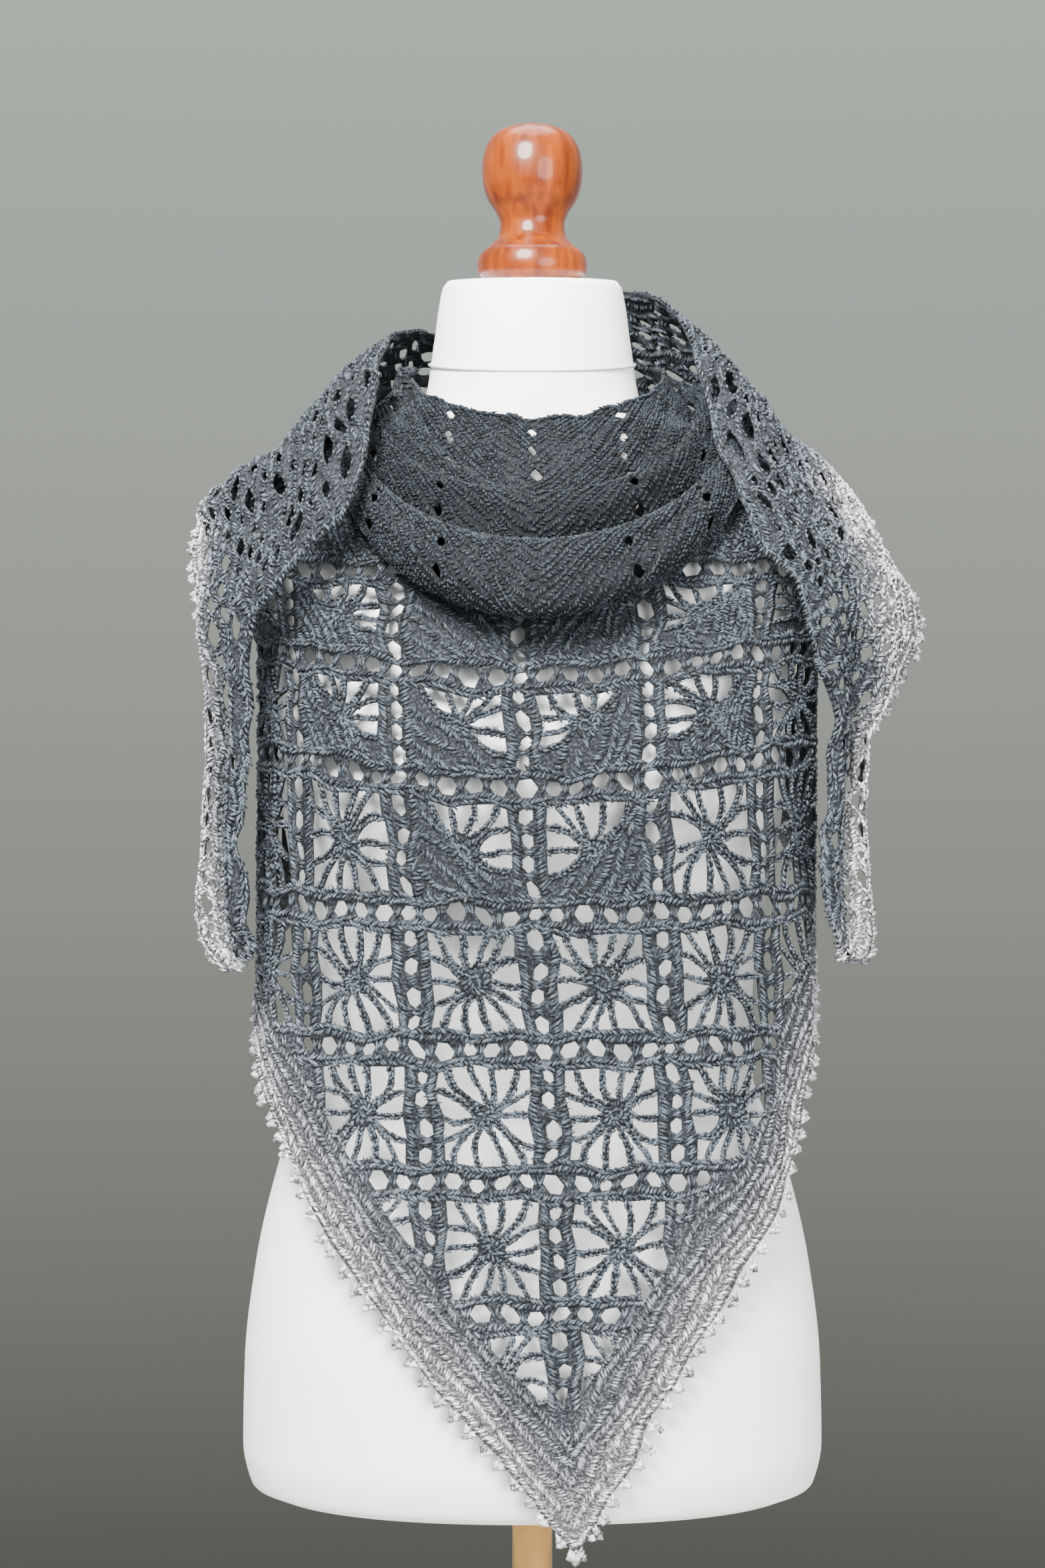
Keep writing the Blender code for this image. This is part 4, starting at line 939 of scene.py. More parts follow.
def put_mesh(name, points, triangles, values=(), chart=None):
    """A mesh object from arrays, with named values on its points and a chart as its UV map."""
    mesh = bpy.data.meshes.new(name)
    mesh.vertices.add(len(points))
    mesh.vertices.foreach_set("co", np.asarray(points, np.float32).ravel())
    mesh.loops.add(triangles.size)
    mesh.loops.foreach_set("vertex_index", np.asarray(triangles, np.int32).ravel())
    mesh.polygons.add(len(triangles))
    mesh.polygons.foreach_set("loop_start", np.arange(0, triangles.size, 3, dtype=np.int32))
    mesh.update(calc_edges=True)
    for value_name, value in values:
        layer = mesh.attributes.new(value_name, "FLOAT", "POINT")
        layer.data.foreach_set("value", np.asarray(value, np.float32))
    if chart is not None:
        layer = mesh.uv_layers.new(name="cloth")
        layer.data.foreach_set("uv", chart[triangles.ravel()].astype(np.float32).ravel())
    mesh.shade_smooth()
    made = bpy.data.objects.new(name, mesh)
    bpy.context.scene.collection.objects.link(made)
    return made


def dress(made, material, nodes=()):
    """Gives a piece its finish and its place on the body, and the solids that it stands for."""
    made.data.materials.append(material)
    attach(made, BODY)
    if nodes:
        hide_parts(*nodes)
    return made


def strand_object(name, surface, strands, seed, material, inward=False):
    """One piece made of strands, on the cloth's outer or inner side."""
    points, triangles, tone, fleck_and_shade = strand_mesh(surface, strands.all(), seed, inward)
    made = put_mesh(name, points, triangles, (("tone", tone), ("fleck_and_shade", fleck_and_shade)))
    return dress(made, material)


def fill(outline, others, step):
    """Even points inside an outline, in staggered rows, clear of its sides and of other points."""
    low, high = outline.min(0), outline.max(0)
    rows = np.arange(low[1] + step / 2, high[1], step * 0.87)
    grid = np.concatenate(
        [
            np.stack([np.arange(low[0] + step * (0.5 + 0.5 * (i % 2)), high[0], step)], -1)
            * (1.0, 0.0)
            + (0.0, z)
            for i, z in enumerate(rows)
        ]
    )
    grid = grid[inside(grid, outline)]
    square = (others**2).sum(1)
    kept = []
    for part in np.array_split(grid, BATCHES):
        gap = (part**2).sum(1)[:, None] + square[None, :] - 2 * part @ others.T
        kept.append(part[gap.min(1) > (step * 0.45) ** 2])
    return np.concatenate(kept)


def lace_sheet(name, surface, outline, holes, step, tone):
    """The cloth under the strands: its outline less its holes, triangulated in the chart and laid
    on the surface, with a wall. Returns the object and the area that is left."""
    loops = [np.asarray(outline)] + holes
    points = np.concatenate(loops)
    sides, first = [], 0
    for loop in loops:
        at = np.arange(len(loop))
        sides.append(first + np.stack([at, (at + 1) % len(loop)], -1))
        first += len(loop)
    inner = fill(loops[0], points, step)
    inner = inner[~in_any(inner, holes)]
    flat = [Vector(p) for p in np.concatenate([points, inner]).tolist()]
    chart, _, triangles, *_ = geometry.delaunay_2d_cdt(
        flat, np.concatenate(sides).tolist(), [], 0, 1e-7
    )
    chart = np.array([tuple(p) for p in chart])
    triangles = np.array(triangles)
    middles = chart[triangles].mean(axis=1)
    triangles = triangles[inside(middles, loops[0]) & ~in_any(middles, holes)]
    place, normal = surface(chart)
    a, b, c = (place[triangles[:, i]] for i in range(3))
    facing = (np.cross(b - a, c - a) * normal[triangles[:, 0]]).sum(1)
    triangles[facing < 0] = triangles[facing < 0][:, ::-1]
    used, triangles = np.unique(triangles, return_inverse=True)
    triangles = triangles.reshape(-1, 3)
    chart, place = chart[used], place[used]
    a, b, c = (place[triangles[:, i]] for i in range(3))
    left = np.linalg.norm(np.cross(b - a, c - a), axis=1).sum() / 2
    # A low speckle value darkens the whole sheet: painted shade between the strands that lie on it
    values = (("tone", tone(chart)), ("fleck_and_shade", np.full(len(chart), GROUND_SHADE)))
    made = put_mesh(name, place, triangles, values, chart)
    wall = made.modifiers.new("wall", "SOLIDIFY")
    wall.thickness = WALL
    wall.offset = 0.0
    return made, left


def resampled(path, pitch):
    """Middles and headings of even steps along a line of chart points."""
    along = running(np.linalg.norm(np.diff(path, axis=0), axis=1))
    count = max(1, int(along[-1] / pitch))
    at = (np.arange(count) + 0.5) * along[-1] / count
    points, ahead, behind = (
        pairs(np.interp(at + step, along, path[:, 0]), np.interp(at + step, along, path[:, 1]))
        for step in (0.0, NEAR_STEP, -NEAR_STEP)
    )
    return points, unit(ahead - behind)


def picots(strands, points, headings, tone):
    """Small bobbles past an edge: leaves fanned out to its right and a knot at their ends."""
    out = right_of(headings)
    for turn in (-1.0, -0.4, 0.4, 1.0):
        centres = points + out * 0.0016 - headings * 0.0030 * math.sin(turn)
        strands.add(centres, turned_by(out, turn), PICOT_LEAF, tone)
    for place, reach in ((-0.0016, 0.0028), (0.0016, 0.0028), (0.0, PICOT_REACH - 0.0004)):
        strands.add(points + out * reach + headings * place, headings, BOBBLE, tone)


def stray(chart):
    """Chart points shifted unevenly, as in cloth made by hand: a sum of plane waves each way."""
    for across, up, phase, aside, along in UNEVEN:
        wave = np.sin(chart[:, :1] * across + chart[:, 1:] * up + phase)
        chart = chart + wave * (aside, along)
    return chart


def climb(away, level):
    """How far a lace row has climbed at a cloth length from the spine: nothing at the spine, then
    as one less a bell curve, by an amount that depends on the row's level."""
    (most,) = read_off(level, SAG, SAG_COLUMNS)
    return most * (1 - np.exp(-((away / SAG_SPREAD) ** 2)))


def level_of(away, z):
    """Level of the lace row that passes through a height, found by repeated correction."""
    level = np.array(z, float)
    for _ in range(12):
        level = z - climb(away, level)
    return level


EDGE_AWAY = np.linspace(-0.79, 0.79, 1581)
EDGE_LEVEL = level_of(EDGE_AWAY, edge_height(EDGE_AWAY))
EDGE_RUN = 0.008


def edge_level(away):
    """Level of the shawl's bordered edge at a signed cloth length from the spine."""
    return np.interp(away, EDGE_AWAY, EDGE_LEVEL)


def edge_lean(away):
    """Length of the bordered edge for each unit sideways."""
    side = np.where(np.asarray(away) < 0, -1.0, 1.0)
    out = np.abs(away)
    rise = edge_level(side * (out + EDGE_RUN)) - edge_level(side * out)
    return np.hypot(1.0, rise / EDGE_RUN)


def depth_in(chart):
    """Depth of chart points in from the bordered edge."""
    return (chart[:, 1] - edge_level(chart[:, 0])) / edge_lean(chart[:, 0])


class Sagging:
    """The hanging cloth charted by cloth length from the spine and level of the lace row."""

    def __init__(self, shell):
        self.shell = shell

    def __call__(self, chart):
        """Points and outward normals: the row at its level plus its climb."""
        chart = stray(np.asarray(chart, float))
        z = chart[:, 1] + climb(chart[:, 0], chart[:, 1])
        return self.shell(np.stack([chart[:, 0], z], -1))


class Hanging:
    """A stretch of the hanging cloth, from one cloth length to another, under a top line."""

    def __init__(self, surface, low, high, top):
        self.surface, self.low, self.high, self.top = surface, low, high, top
        self.columns = np.arange(math.floor(low / SQUARE), math.ceil(high / SQUARE))

    def room(self, chart):
        """How far chart points are inside the stretch's two sides and its top."""
        away, z = chart[:, 0], chart[:, 1]
        return np.minimum(np.minimum(away - self.low, self.high - away), self.top(away) - z)

    def outline(self):
        """The stretch's outline, anticlockwise from its lower left corner."""
        count = int((self.high - self.low) / 0.0015)
        away = np.linspace(self.low, self.high, count)
        lower = pairs(away, edge_level(away))
        away = np.linspace(self.high, self.low, int(count / 3))
        upper = pairs(away, self.top(away))
        rise = np.linspace(0, 1, 60)[1:-1, None]
        right = lower[-1] + (upper[0] - lower[-1]) * rise
        left = upper[-1] + (lower[0] - upper[-1]) * rise
        return np.concatenate([lower, right, upper, left])

    def eyelets(self):
        """Six-sided holes, five to a square along every band."""
        first, last = self.columns[0], self.columns[-1] + 1
        across = np.arange(first * EYELETS_A_SQUARE, last * EYELETS_A_SQUARE + 1)
        across = across * SQUARE / EYELETS_A_SQUARE
        uprights = np.arange(first, last + 1) * SQUARE
        found = []
        for z in EYELET_ROWS:
            found += self.punched(pairs(across, z), SIX_SIDED * ROW_EYELET)
        for low, high in zip(EYELET_ROWS, EYELET_ROWS[1:]):
            for j in range(1, EYELETS_A_SQUARE):
                z = low + (high - low) * j / EYELETS_A_SQUARE
                found += self.punched(pairs(uprights, z), SIX_SIDED[:, ::-1] * COLUMN_EYELET)
        return found

    def punched(self, spots, shape):
        """A hole's shape at each spot that is clear of the border and of the stretch's sides."""
        clear = depth_in(spots) > BORDER + EYELET_FROM_BORDER
        clear &= self.room(spots) > EYELET_FROM_SIDE
        return [spot + shape for spot in spots[clear]]

    def squares(self):
        """Centre, half sizes, layer in from the edge and side of the spine of each lace square."""
        for row, (low, high) in enumerate(zip(EYELET_ROWS, EYELET_ROWS[1:])):
            for k in self.columns:
                centre = np.array([SQUARE * (k + 0.5), (low + high) / 2])
                half = np.array([SQUARE / 2, (high - low) / 2]) - BAND
                layer = row - (k if k >= 0 else -k - 1)
                yield centre, half, layer, (1.0 if k < 0 else -1.0)

    def webs(self, strands):
        """Spider webs: the gaps between their arms, and the braid of each arm and hub."""
        gaps = []
        chance = np.random.default_rng(int(1000 * (self.high + 1)))
        for centre, half, layer, towards in self.squares():
            if layer > HALF_UP_TO:
                continue
            lines, angles = arm_lines(half, chance)
            whole = layer <= WHOLE_UP_TO
            for i, line in enumerate(lines):
                middle = angles[i] - math.pi / len(lines)
                if whole or math.cos(middle) * towards + math.sin(middle) > HALF_GAP_FACING:
                    after = lines[(i + 1) % len(lines)]
                    gap = centre + arm_gap(line, after, ARM_CORNERS.get(i), half)
                    keep = np.minimum(depth_in(gap) - BORDER, self.room(gap) - GAP_FROM_SIDE)
                    gap = trimmed(gap, keep)
                    if len(gap) > 2 and polygon_area(gap) > GAP_LEAST:
                        gaps.append(gap)
                if whole or math.cos(angles[i]) * towards + math.sin(angles[i]) > HALF_ARM_FACING:
                    self.braid(strands, centre + line)
            turn = np.arange(len(lines)) * 2 * math.pi / len(lines)
            round_hub = pairs(np.cos(turn), np.sin(turn))
            for reach, size, twist in HUB_RINGS:
                spots = centre + round_hub * reach
                clear = (depth_in(spots) > BORDER) & (self.room(spots) > 0)
                self.stitch(strands, spots, turned_by(round_hub, twist), clear, size)
        return gaps

    def stitch(self, strands, spots, headings, kept, size, lift=0.0):
        """Adds the strands that are kept, each in the tone of its depth in from the edge."""
        strands.add(spots[kept], headings[kept], size, tone_at(depth_in(spots[kept])), lift)

    def braid(self, strands, line):
        """A chain of paired leaves along a line."""
        points, headings = resampled(line, CHAIN_PITCH)
        for side in (-1, 1):
            spots = points + right_of(headings) * side * BRAID_ASIDE
            clear = (depth_in(spots) > BORDER - BRAID_ASIDE) & (self.room(spots) > 0)
            self.stitch(
                strands, spots, turned_by(headings, side * BRAID_TURN), clear, CHAIN, RAISED
            )

    def field(self, chart):
        """Which chart points lie in plain rows: border, solid squares and solid half squares."""
        plain = np.ones(len(chart), bool)
        rows = np.array(EYELET_ROWS)
        near_row = np.abs(chart[:, 1:2] - rows[None, :]).min(1) < BAND
        column = chart[:, 0] / SQUARE
        near_column = np.abs(column - np.round(column)) * SQUARE < BAND
        in_rows = (chart[:, 1] > rows[0] - BAND) & (chart[:, 1] < rows[-1] + BAND)
        plain &= ~(near_row | near_column) | ~in_rows
        for centre, half, layer, towards in self.squares():
            if layer > HALF_UP_TO:
                continue
            place = (chart - centre) / half
            here = (np.abs(place) <= SQUARE_REACH).all(axis=1)
            if layer > WHOLE_UP_TO:
                here &= place[:, 0] * towards + place[:, 1] > DIAGONAL
            plain &= ~here
        return plain | (depth_in(chart) < BORDER)

    def leaves(self, strands, holes):
        """Ridges of slanted leaves along the bordered edge, every other ridge leaning back."""
        reach = max(abs(self.low), abs(self.high))
        places, turns = [], []
        for number in range(int(RIDGES_REACH / ROW_PITCH)):
            inset = ROW_PITCH * (number + 0.5)
            for side in (-1.0, 1.0):
                away = np.arange(0, reach + 0.004, 0.0008) * side
                path = pairs(away, edge_level(away) + inset * edge_lean(away))
                points, headings = resampled(path, LEAF_PITCH)
                places.append(points)
                turns.append(turned_by(headings, LEAF_LEAN * side * (1 if number % 2 else -1)))
        points, headings = np.concatenate(places), np.concatenate(turns)
        clear = self.room(points) > SIDE_ROOM
        points, headings = points[clear], headings[clear]
        kept = self.field(points)
        for ahead in (0.0, LEAF_HALF, -LEAF_HALF):
            kept &= ~in_any(points + headings * ahead, holes)
        self.stitch(strands, points, headings, kept, LEAF)

    def bands(self, strands, holes):
        """The bands between squares: a herringbone each side of a row of eyelets, treble posts
        between the eyelets, and slanted clumps beside the upright columns."""
        laid = []
        first, last = self.columns[0], self.columns[-1] + 1
        away = np.arange(self.low, self.high, CHAIN_PITCH)
        posts = np.arange(first * EYELETS_A_SQUARE, last * EYELETS_A_SQUARE) + 0.5
        posts = posts * SQUARE / EYELETS_A_SQUARE
        for z in EYELET_ROWS:
            for side in (-1, 1):
                for off, lean in HERRINGBONE:
                    heading = (math.cos(lean), math.sin(lean))
                    laid.append((pairs(away, z + side * off), heading, LEAF, 1e-4))
            for side in (-1, 0, 1):
                spots = pairs(posts + side * POST_SPREAD, z)
                laid.append((spots, (side * POST_LEAN + 0.1, 1.0), TREBLE, 0.0))
        rows = np.array(EYELET_ROWS)
        beside = np.arange(rows[0], rows[-1], CLUMP[1])
        beside = beside[np.abs(beside[:, None] - rows[None, :]).min(1) > CLUMP_FROM_ROW]
        steps = np.arange(EYELETS_A_SQUARE) + 0.5
        for upright in np.arange(first, last + 1) * SQUARE:
            for side in (-1, 1):
                spots = pairs(upright + side * CLUMP_OFF, beside)
                laid.append((spots, (side, CLUMP_LEAN), CLUMP, 0.0))
            for low, high in zip(rows, rows[1:]):
                for level in low + (high - low) * steps / EYELETS_A_SQUARE:
                    for side in (-1, 0, 1):
                        spots = np.array([(upright, level + side * POST_SPREAD)])
                        laid.append((spots, (1.0, side * POST_LEAN), TREBLE, 0.0))
        self.lay(strands, laid, holes)

    def lay(self, strands, laid, holes):
        """Lays groups of strands, each with its spots, heading, size and lift, where they are clear
        of the border, the sides and the holes."""
        spots = np.concatenate([group[0] for group in laid])
        depth = depth_in(spots)
        kept = (depth > BORDER - SIDE_ROOM) & (self.room(spots) > SIDE_ROOM) & ~in_any(spots, holes)
        ends = np.cumsum([len(group[0]) for group in laid])[:-1]
        parts = zip(laid, np.split(kept, ends), np.split(tone_at(depth), ends))
        for (places, heading, size, lift), mine, tone in parts:
            strands.add(places[mine], np.tile(heading, (mine.sum(), 1)), size, tone[mine], lift)

    def trim(self, strands):
        """Picots along the bordered edge, and a cluster at its tip."""
        for side in (-1.0, 1.0):
            away = np.arange(0.004, max(abs(self.low), abs(self.high)), 0.0005) * side
            path = pairs(away, edge_level(away))
            points, headings = resampled(path if side > 0 else path[::-1], PICOT_PITCH)
            kept = (points[:, 0] > self.low + 0.002) & (points[:, 0] < self.high - 0.002)
            picots(strands, points[kept], headings[kept], 1.0)
        if self.low < 0 < self.high:
            tip = np.array([(0.0, EDGE[0][1])])
            for turn in (-1.0, 0.0, 1.0):
                picots(strands, tip, turned_by(np.array([(1.0, 0.0)]), turn), 1.0)


def arm_lines(half, chance):
    """Middle lines of a web's arms, from hub to square: quadratic curves bent towards the side that
    they leave, each bowed a little aside. Also their directions, which are even round the hub."""
    ends = np.array(ARM_ENDS, float)
    level = np.abs(ends[:, :1]) == 1
    bend = np.where(level, ends * (ARM_BEND, ARM_FLARE), ends * (ARM_FLARE, ARM_BEND)) * half
    count = len(ends)
    angles = math.pi / 2 + 1.5 * 2 * math.pi / count - np.arange(count) * 2 * math.pi / count
    hub = HUB_RADIUS * pairs(np.cos(angles), np.sin(angles))
    t = np.linspace(0, 1, ARM_POINTS)[None, :, None]
    lines = hub[:, None] * (1 - t) ** 2 + bend[:, None] * 2 * t * (1 - t)
    lines = lines + (ends * half)[:, None] * t**2
    aside = pairs(-np.sin(angles), np.cos(angles))[:, None]
    bow = chance.normal(0, ARM_STRAY, (count, 1, 1)) * np.sin(math.pi * t)
    return lines + aside * bow, angles


def arm_gap(line, after, corner, half):
    """The gap from one arm clockwise to the next: each arm's near side, and the square's corner."""
    parts = []
    for path, side in ((line, 1.0), (after, -1.0)):
        out = right_of(unit(np.gradient(path, axis=0)))
        parts.append((path + out * side * ARM_HALF)[::2])
    middle = [np.array([corner], float) * half] if corner else []
    return np.concatenate([parts[0]] + middle + [parts[1][::-1]])


def hang(name, cloth, material, seed, node, step):
    """One stretch of the hanging cloth: its sheet, and its ridges, picots, bands and webs."""
    webs, ridges, bands = Strands(), Strands(), Strands()
    gaps = cloth.webs(webs)
    holes = cloth.eyelets()
    cloth.leaves(ridges, holes + gaps)
    cloth.trim(ridges)
    cloth.bands(bands, holes)
    outline = cloth.outline()

    def tone(chart):
        return tone_at(depth_in(chart))

    sheet, left = lace_sheet(name + "_cloth", cloth.surface, outline, holes + gaps, step, tone)
    dress(sheet, material, (node,))
    pieces = [
        strand_object(name + "_ridges", cloth.surface, ridges, seed, material),
        strand_object(name + "_bands", cloth.surface, bands, seed + 1, material),
        strand_object(name + "_webs", cloth.surface, webs, seed + 2, material),
    ]


class End:
    """One end of the shawl, charted by depth in from its bordered edge and length along it."""

    def __init__(self, table, under, border, creases, pale):
        self.border = border
        self.pale = column(pale, PALE_COLUMNS, "share"), column(pale, PALE_COLUMNS, "depth")
        self.patch = Patch(drape_place(table), flip=not leftward(table), under=under)
        grid = self.patch.points
        self.t = np.linspace(0, 1, grid.shape[1])
        self.along = running(np.linalg.norm(np.diff(grid[-1], axis=0), axis=1))
        self.widths = np.linalg.norm(np.diff(grid, axis=0), axis=2).sum(0)
        self.length = self.along[-1]
        depth = np.linspace(1, 0, grid.shape[0])[:, None] * self.widths
        along = np.broadcast_to(self.along, depth.shape)
        self.patch.crease(crease_depth(creases, depth, along))

    def width(self, along):
        """Width of the cloth at a length along the edge."""
        return np.interp(along, self.along, self.widths)

    def __call__(self, chart):
        """Points and outward normals at rows of (depth, length along)."""
        chart = stray(np.asarray(chart, float))
        t = np.interp(chart[:, 1], self.along, self.t)
        past = np.maximum(chart[:, 1] - self.length, 0) + np.minimum(chart[:, 1], 0)
        s = 1 - chart[:, 0] / self.width(chart[:, 1])
        return self.patch(np.stack([s, t + past / self.length], -1))

    def tone(self, chart):
        """Palest at the bordered edge, sooner dark where the cloth is gathered narrow."""
        spread = (GATHERED_TONE, BORDER / self.border)
        squeeze = np.interp(self.width(chart[:, 1]), GATHERED, spread)
        depth = np.maximum(chart[:, 0] - np.interp(chart[:, 1] / self.length, *self.pale), 0)
        return tone_at(depth * squeeze)

    def outline(self):
        """Bordered edge, last end, neck edge and first end."""
        along = np.linspace(0, self.length, 320)
        inner = np.linspace(self.length, 0, 200)
        far = np.linspace(0, 1, 8)[1:-1] * self.width(self.length)
        near = np.linspace(1, 0, 40)[1:-1] * self.width(0)
        sides = ((0.0, along), (far, self.length), (self.width(inner), inner), (near, 0.0))
        return np.concatenate([pairs(*side) for side in sides])

    def gaps(self):
        """Webs squeezed to slim lozenges, in staggered rows along the cloth."""
        chance = np.random.default_rng(7)
        row_pitch, pitch = LOZENGE_PITCH
        found = []
        for row in range(LOZENGE_ROWS):
            along = np.arange(0.018 + pitch / 2 * (row % 2), self.length - 0.020, pitch)
            base = np.interp(self.width(along), GATHERED, (GATHERED_BORDER, self.border))
            spots = pairs(base + row_pitch * row, along)
            spots = spots + chance.normal(0, LOZENGE_STRAY, spots.shape)
            clear = spots[:, 0] < self.width(along) - EYELET_FROM_SIDE
            sizes = chance.uniform(*LOZENGE_SHARE, (clear.sum(), 1, 1)) * LOZENGE
            found += list(spots[clear][:, None] + EIGHT_SIDED * sizes)
        return found

    def rims(self, strands, holes):
        """Strands laid round every hole, just outside it."""
        for hole in holes:
            points, headings = resampled(np.concatenate([hole, hole[:1]]), RIM_PITCH)
            out = unit(points - hole.mean(0))
            strands.add(points + out * RIM_OFF, headings, SHORT, self.tone(points), RAISED)

    def strands(self, holes, pitch=LEAF_PITCH, until=None, inset_from=0.0):
        """Ridges along the cloth, as far along as a length where one is given."""
        made = Strands()
        along = np.arange(pitch, (until or self.length) - 0.002, pitch)
        for number in range(int(self.widths.max() / ROW_PITCH)):
            inset = ROW_PITCH * (number + 0.5)
            if inset < inset_from:
                continue
            points = pairs(inset, along)
            heading = turned_by(np.array([(0.0, 1.0)]), LEAF_LEAN * (1 if number % 2 else -1))
            kept = inset < self.width(along) - 0.002
            for ahead in (0.0, END_LEAF_HALF, -END_LEAF_HALF):
                kept &= ~in_any(points + heading * ahead, holes)
            made.add(points[kept], np.tile(heading, (kept.sum(), 1)), LEAF, self.tone(points[kept]))
        return made

    def finish_edges(self, strands):
        """A braid on the neck edge, and picots on the bordered edge."""
        along = np.arange(SHORT_PITCH, self.length - 0.002, SHORT_PITCH)
        for off, lean in NECK_EDGE_ROWS:
            inner = pairs(self.width(along) - off, along)
            headings = np.tile((lean, 1.0), (len(inner), 1))
            strands.add(inner, headings, LEAF, self.tone(inner), TOPMOST)
        edge = pairs(0.0, np.linspace(0.004, self.length - 0.004, 900))
        picots(strands, *resampled(edge[::-1], PICOT_PITCH), 1.0)


class Fold:
    """A fold of the cowl, charted by length over its profile and length round the neck."""

    def __init__(self, table, under, creases):
        self.patch = Patch(cowl_place(table), 41, 121, under=under)
        grid = self.patch.points
        middle_row, middle_column = grid[grid.shape[0] // 2], grid[:, grid.shape[1] // 2]
        self.profile = np.linalg.norm(np.diff(middle_column, axis=0), axis=1).sum()
        self.round = np.linalg.norm(np.diff(middle_row, axis=0), axis=1).sum()
        over = np.linspace(0, self.profile, grid.shape[0])[:, None]
        past = np.linspace(-0.5, 0.5, grid.shape[1])[None, :] * self.round
        self.patch.crease(crease_depth(creases, *np.broadcast_arrays(over, past)))

    def __call__(self, chart):
        """Points and outward normals at rows of (length over the profile, length round)."""
        chart = stray(np.asarray(chart, float))
        return self.patch(pairs(chart[:, 0] / self.profile, 0.5 + chart[:, 1] / self.round))

    def outline(self):
        """The fold's chart: a plain band."""
        over = np.linspace(0, self.profile, 24)
        past = np.linspace(-self.round / 2, self.round / 2, 140)
        sides = (
            (over[:-1], past[0]),
            (over[-1], past[:-1]),
            (over[:0:-1], past[-1]),
            (0.0, past[:0:-1]),
        )
        return np.concatenate([pairs(*side) for side in sides])

    def eyelets(self, spine):
        """Lines of eyelets at every square's side, and down the spine where that is asked."""
        shape = EIGHT_SIDED * COWL_SQUEEZE * COWL_EYELET
        over = np.arange(0.010, self.profile - 0.006, SQUARE / EYELETS_A_SQUARE)
        found = []
        for k in (-2, -1, 0, 1, 2) if spine else (-2, -1, 1, 2):
            found += [spot + shape for spot in pairs(over, SQUARE * k * COWL_GATHER)]
        return found

    def strands(self, holes, tone, scalloped):
        """Close short rows that fall in a V towards the spine, and a small scallop on the lip."""
        made = Strands()
        drop, level = math.tan(COWL_ROW_SLOPE), math.cos(COWL_ROW_SLOPE)
        away = np.arange(SHORT_PITCH / 2, self.round / 2 / level, SHORT_PITCH) * level
        rows = np.arange(0.001, self.profile + drop * self.round / 2, SHORT_ROW / level)
        for number, start in enumerate(rows):
            for side in (-1.0, 1.0):
                points = pairs(start - away * drop, away * side)
                lean = COWL_ROW_SLOPE + (COWL_LEAN if number % 2 else -COWL_LEAN)
                heading = (-math.sin(lean), math.cos(lean) * side)
                kept = (points[:, 0] > 0.0006) & (points[:, 0] < self.profile - 0.0006)
                kept &= ~in_any(points, holes)
                made.add(points[kept], np.tile(heading, (kept.sum(), 1)), SHORT, tone(points[kept]))
        if scalloped:
            lip = pairs(0.001, np.linspace(-0.5, 0.5, 600) * self.round)
            points, headings = resampled(lip, SCALLOP_PITCH)
            for turn, lift in SCALLOP:
                made.add(points, turned_by(headings, turn), LEAF, tone(lip[:1]), lift)
        return made


def hanging_cover():
    """Every third point of the hanging cloth with its right side lifted, as points and outward
    normals, for the cowl and the ends to lie over."""
    shell = Shell(lift_side=1)
    return tuple(a[::3, ::3].reshape(-1, 3) for a in (shell.points, shell.normals))


def panel_top_level(away):
    """Level of the lace row at the panel's hidden upper edge."""
    return level_of(away, panel_top(away))


def wing_top(away):
    """The level upper line of the shawl's back."""
    return np.full(np.shape(away), SHELL_TOP)


def halved(a, b, c, d):
    """Two triangles for each quad with the corners a, b, c and d in turn."""
    halves = (np.stack([a, b, c], -1), np.stack([a, c, d], -1))
    return np.concatenate([half.reshape(-1, 3) for half in halves])


def closed_rings(name, rings):
    """A closed body through rings of equal count from the bottom up: halved quads between rings,
    and fans to the middle of the first and last ring."""
    count, around = rings.shape[:2]
    index = np.arange(count * around).reshape(count, around)
    after = np.roll(index, -1, axis=1)
    sides = halved(index[:-1], after[:-1], after[1:], index[1:])
    foot, head = count * around, count * around + 1
    bottom = np.stack([after[0], index[0], np.full(around, foot)], -1)
    top = np.stack([index[-1], after[-1], np.full(around, head)], -1)
    points = np.concatenate([rings.reshape(-1, 3), [rings[0].mean(0)], [rings[-1].mean(0)]])
    return put_mesh(name, points, np.concatenate([sides, bottom, top]))


def lathed(name, radii, heights, around, foot=0.0, tilt=0.0):
    """A turned piece: (radius, height) swept about the upright axis, its foot sheared to a tilt."""
    angle = np.linspace(0, 2 * math.pi, around, endpoint=False)
    x = radii[:, None] * np.sin(angle)[None, :]
    y = -radii[:, None] * np.cos(angle)[None, :]
    settle = tilt * y * np.clip(1 - heights / FOOT_SETTLES, 0, None)[:, None]
    z = foot + heights[:, None] + settle
    return closed_rings(name, np.stack([x, y, z], -1))


def profile_of(table, names, count):
    """A turned profile drawn smooth through a table, evenly along its length."""
    radius, above = column(table, names, "radius"), column(table, names, "above")
    along = running(np.hypot(np.diff(radius), np.diff(above)))
    at = np.linspace(0, along[-1], count)
    return flow(at, along, radius), flow(at, along, above)


def tube(name, path, radius, around):
    """A closed cord: a circle carried round a closed path, square to it."""
    heading = unit(np.roll(path, -1, 0) - np.roll(path, 1, 0))
    out = unit(path * (1.0, 1.0, 0.0))
    out = unit(out - heading * (out * heading).sum(1, keepdims=True))
    up = np.cross(heading, out)
    angle = np.linspace(0, 2 * math.pi, around, endpoint=False)[None, :, None]
    points = path[:, None] + radius * (np.cos(angle) * out[:, None] + np.sin(angle) * up[:, None])
    index = np.arange(len(path) * around).reshape(len(path), around)
    high = np.roll(index, -1, axis=0)
    faces = halved(index, high, np.roll(high, -1, axis=1), np.roll(index, -1, axis=1))
    return put_mesh(name, points.reshape(-1, 3), faces)


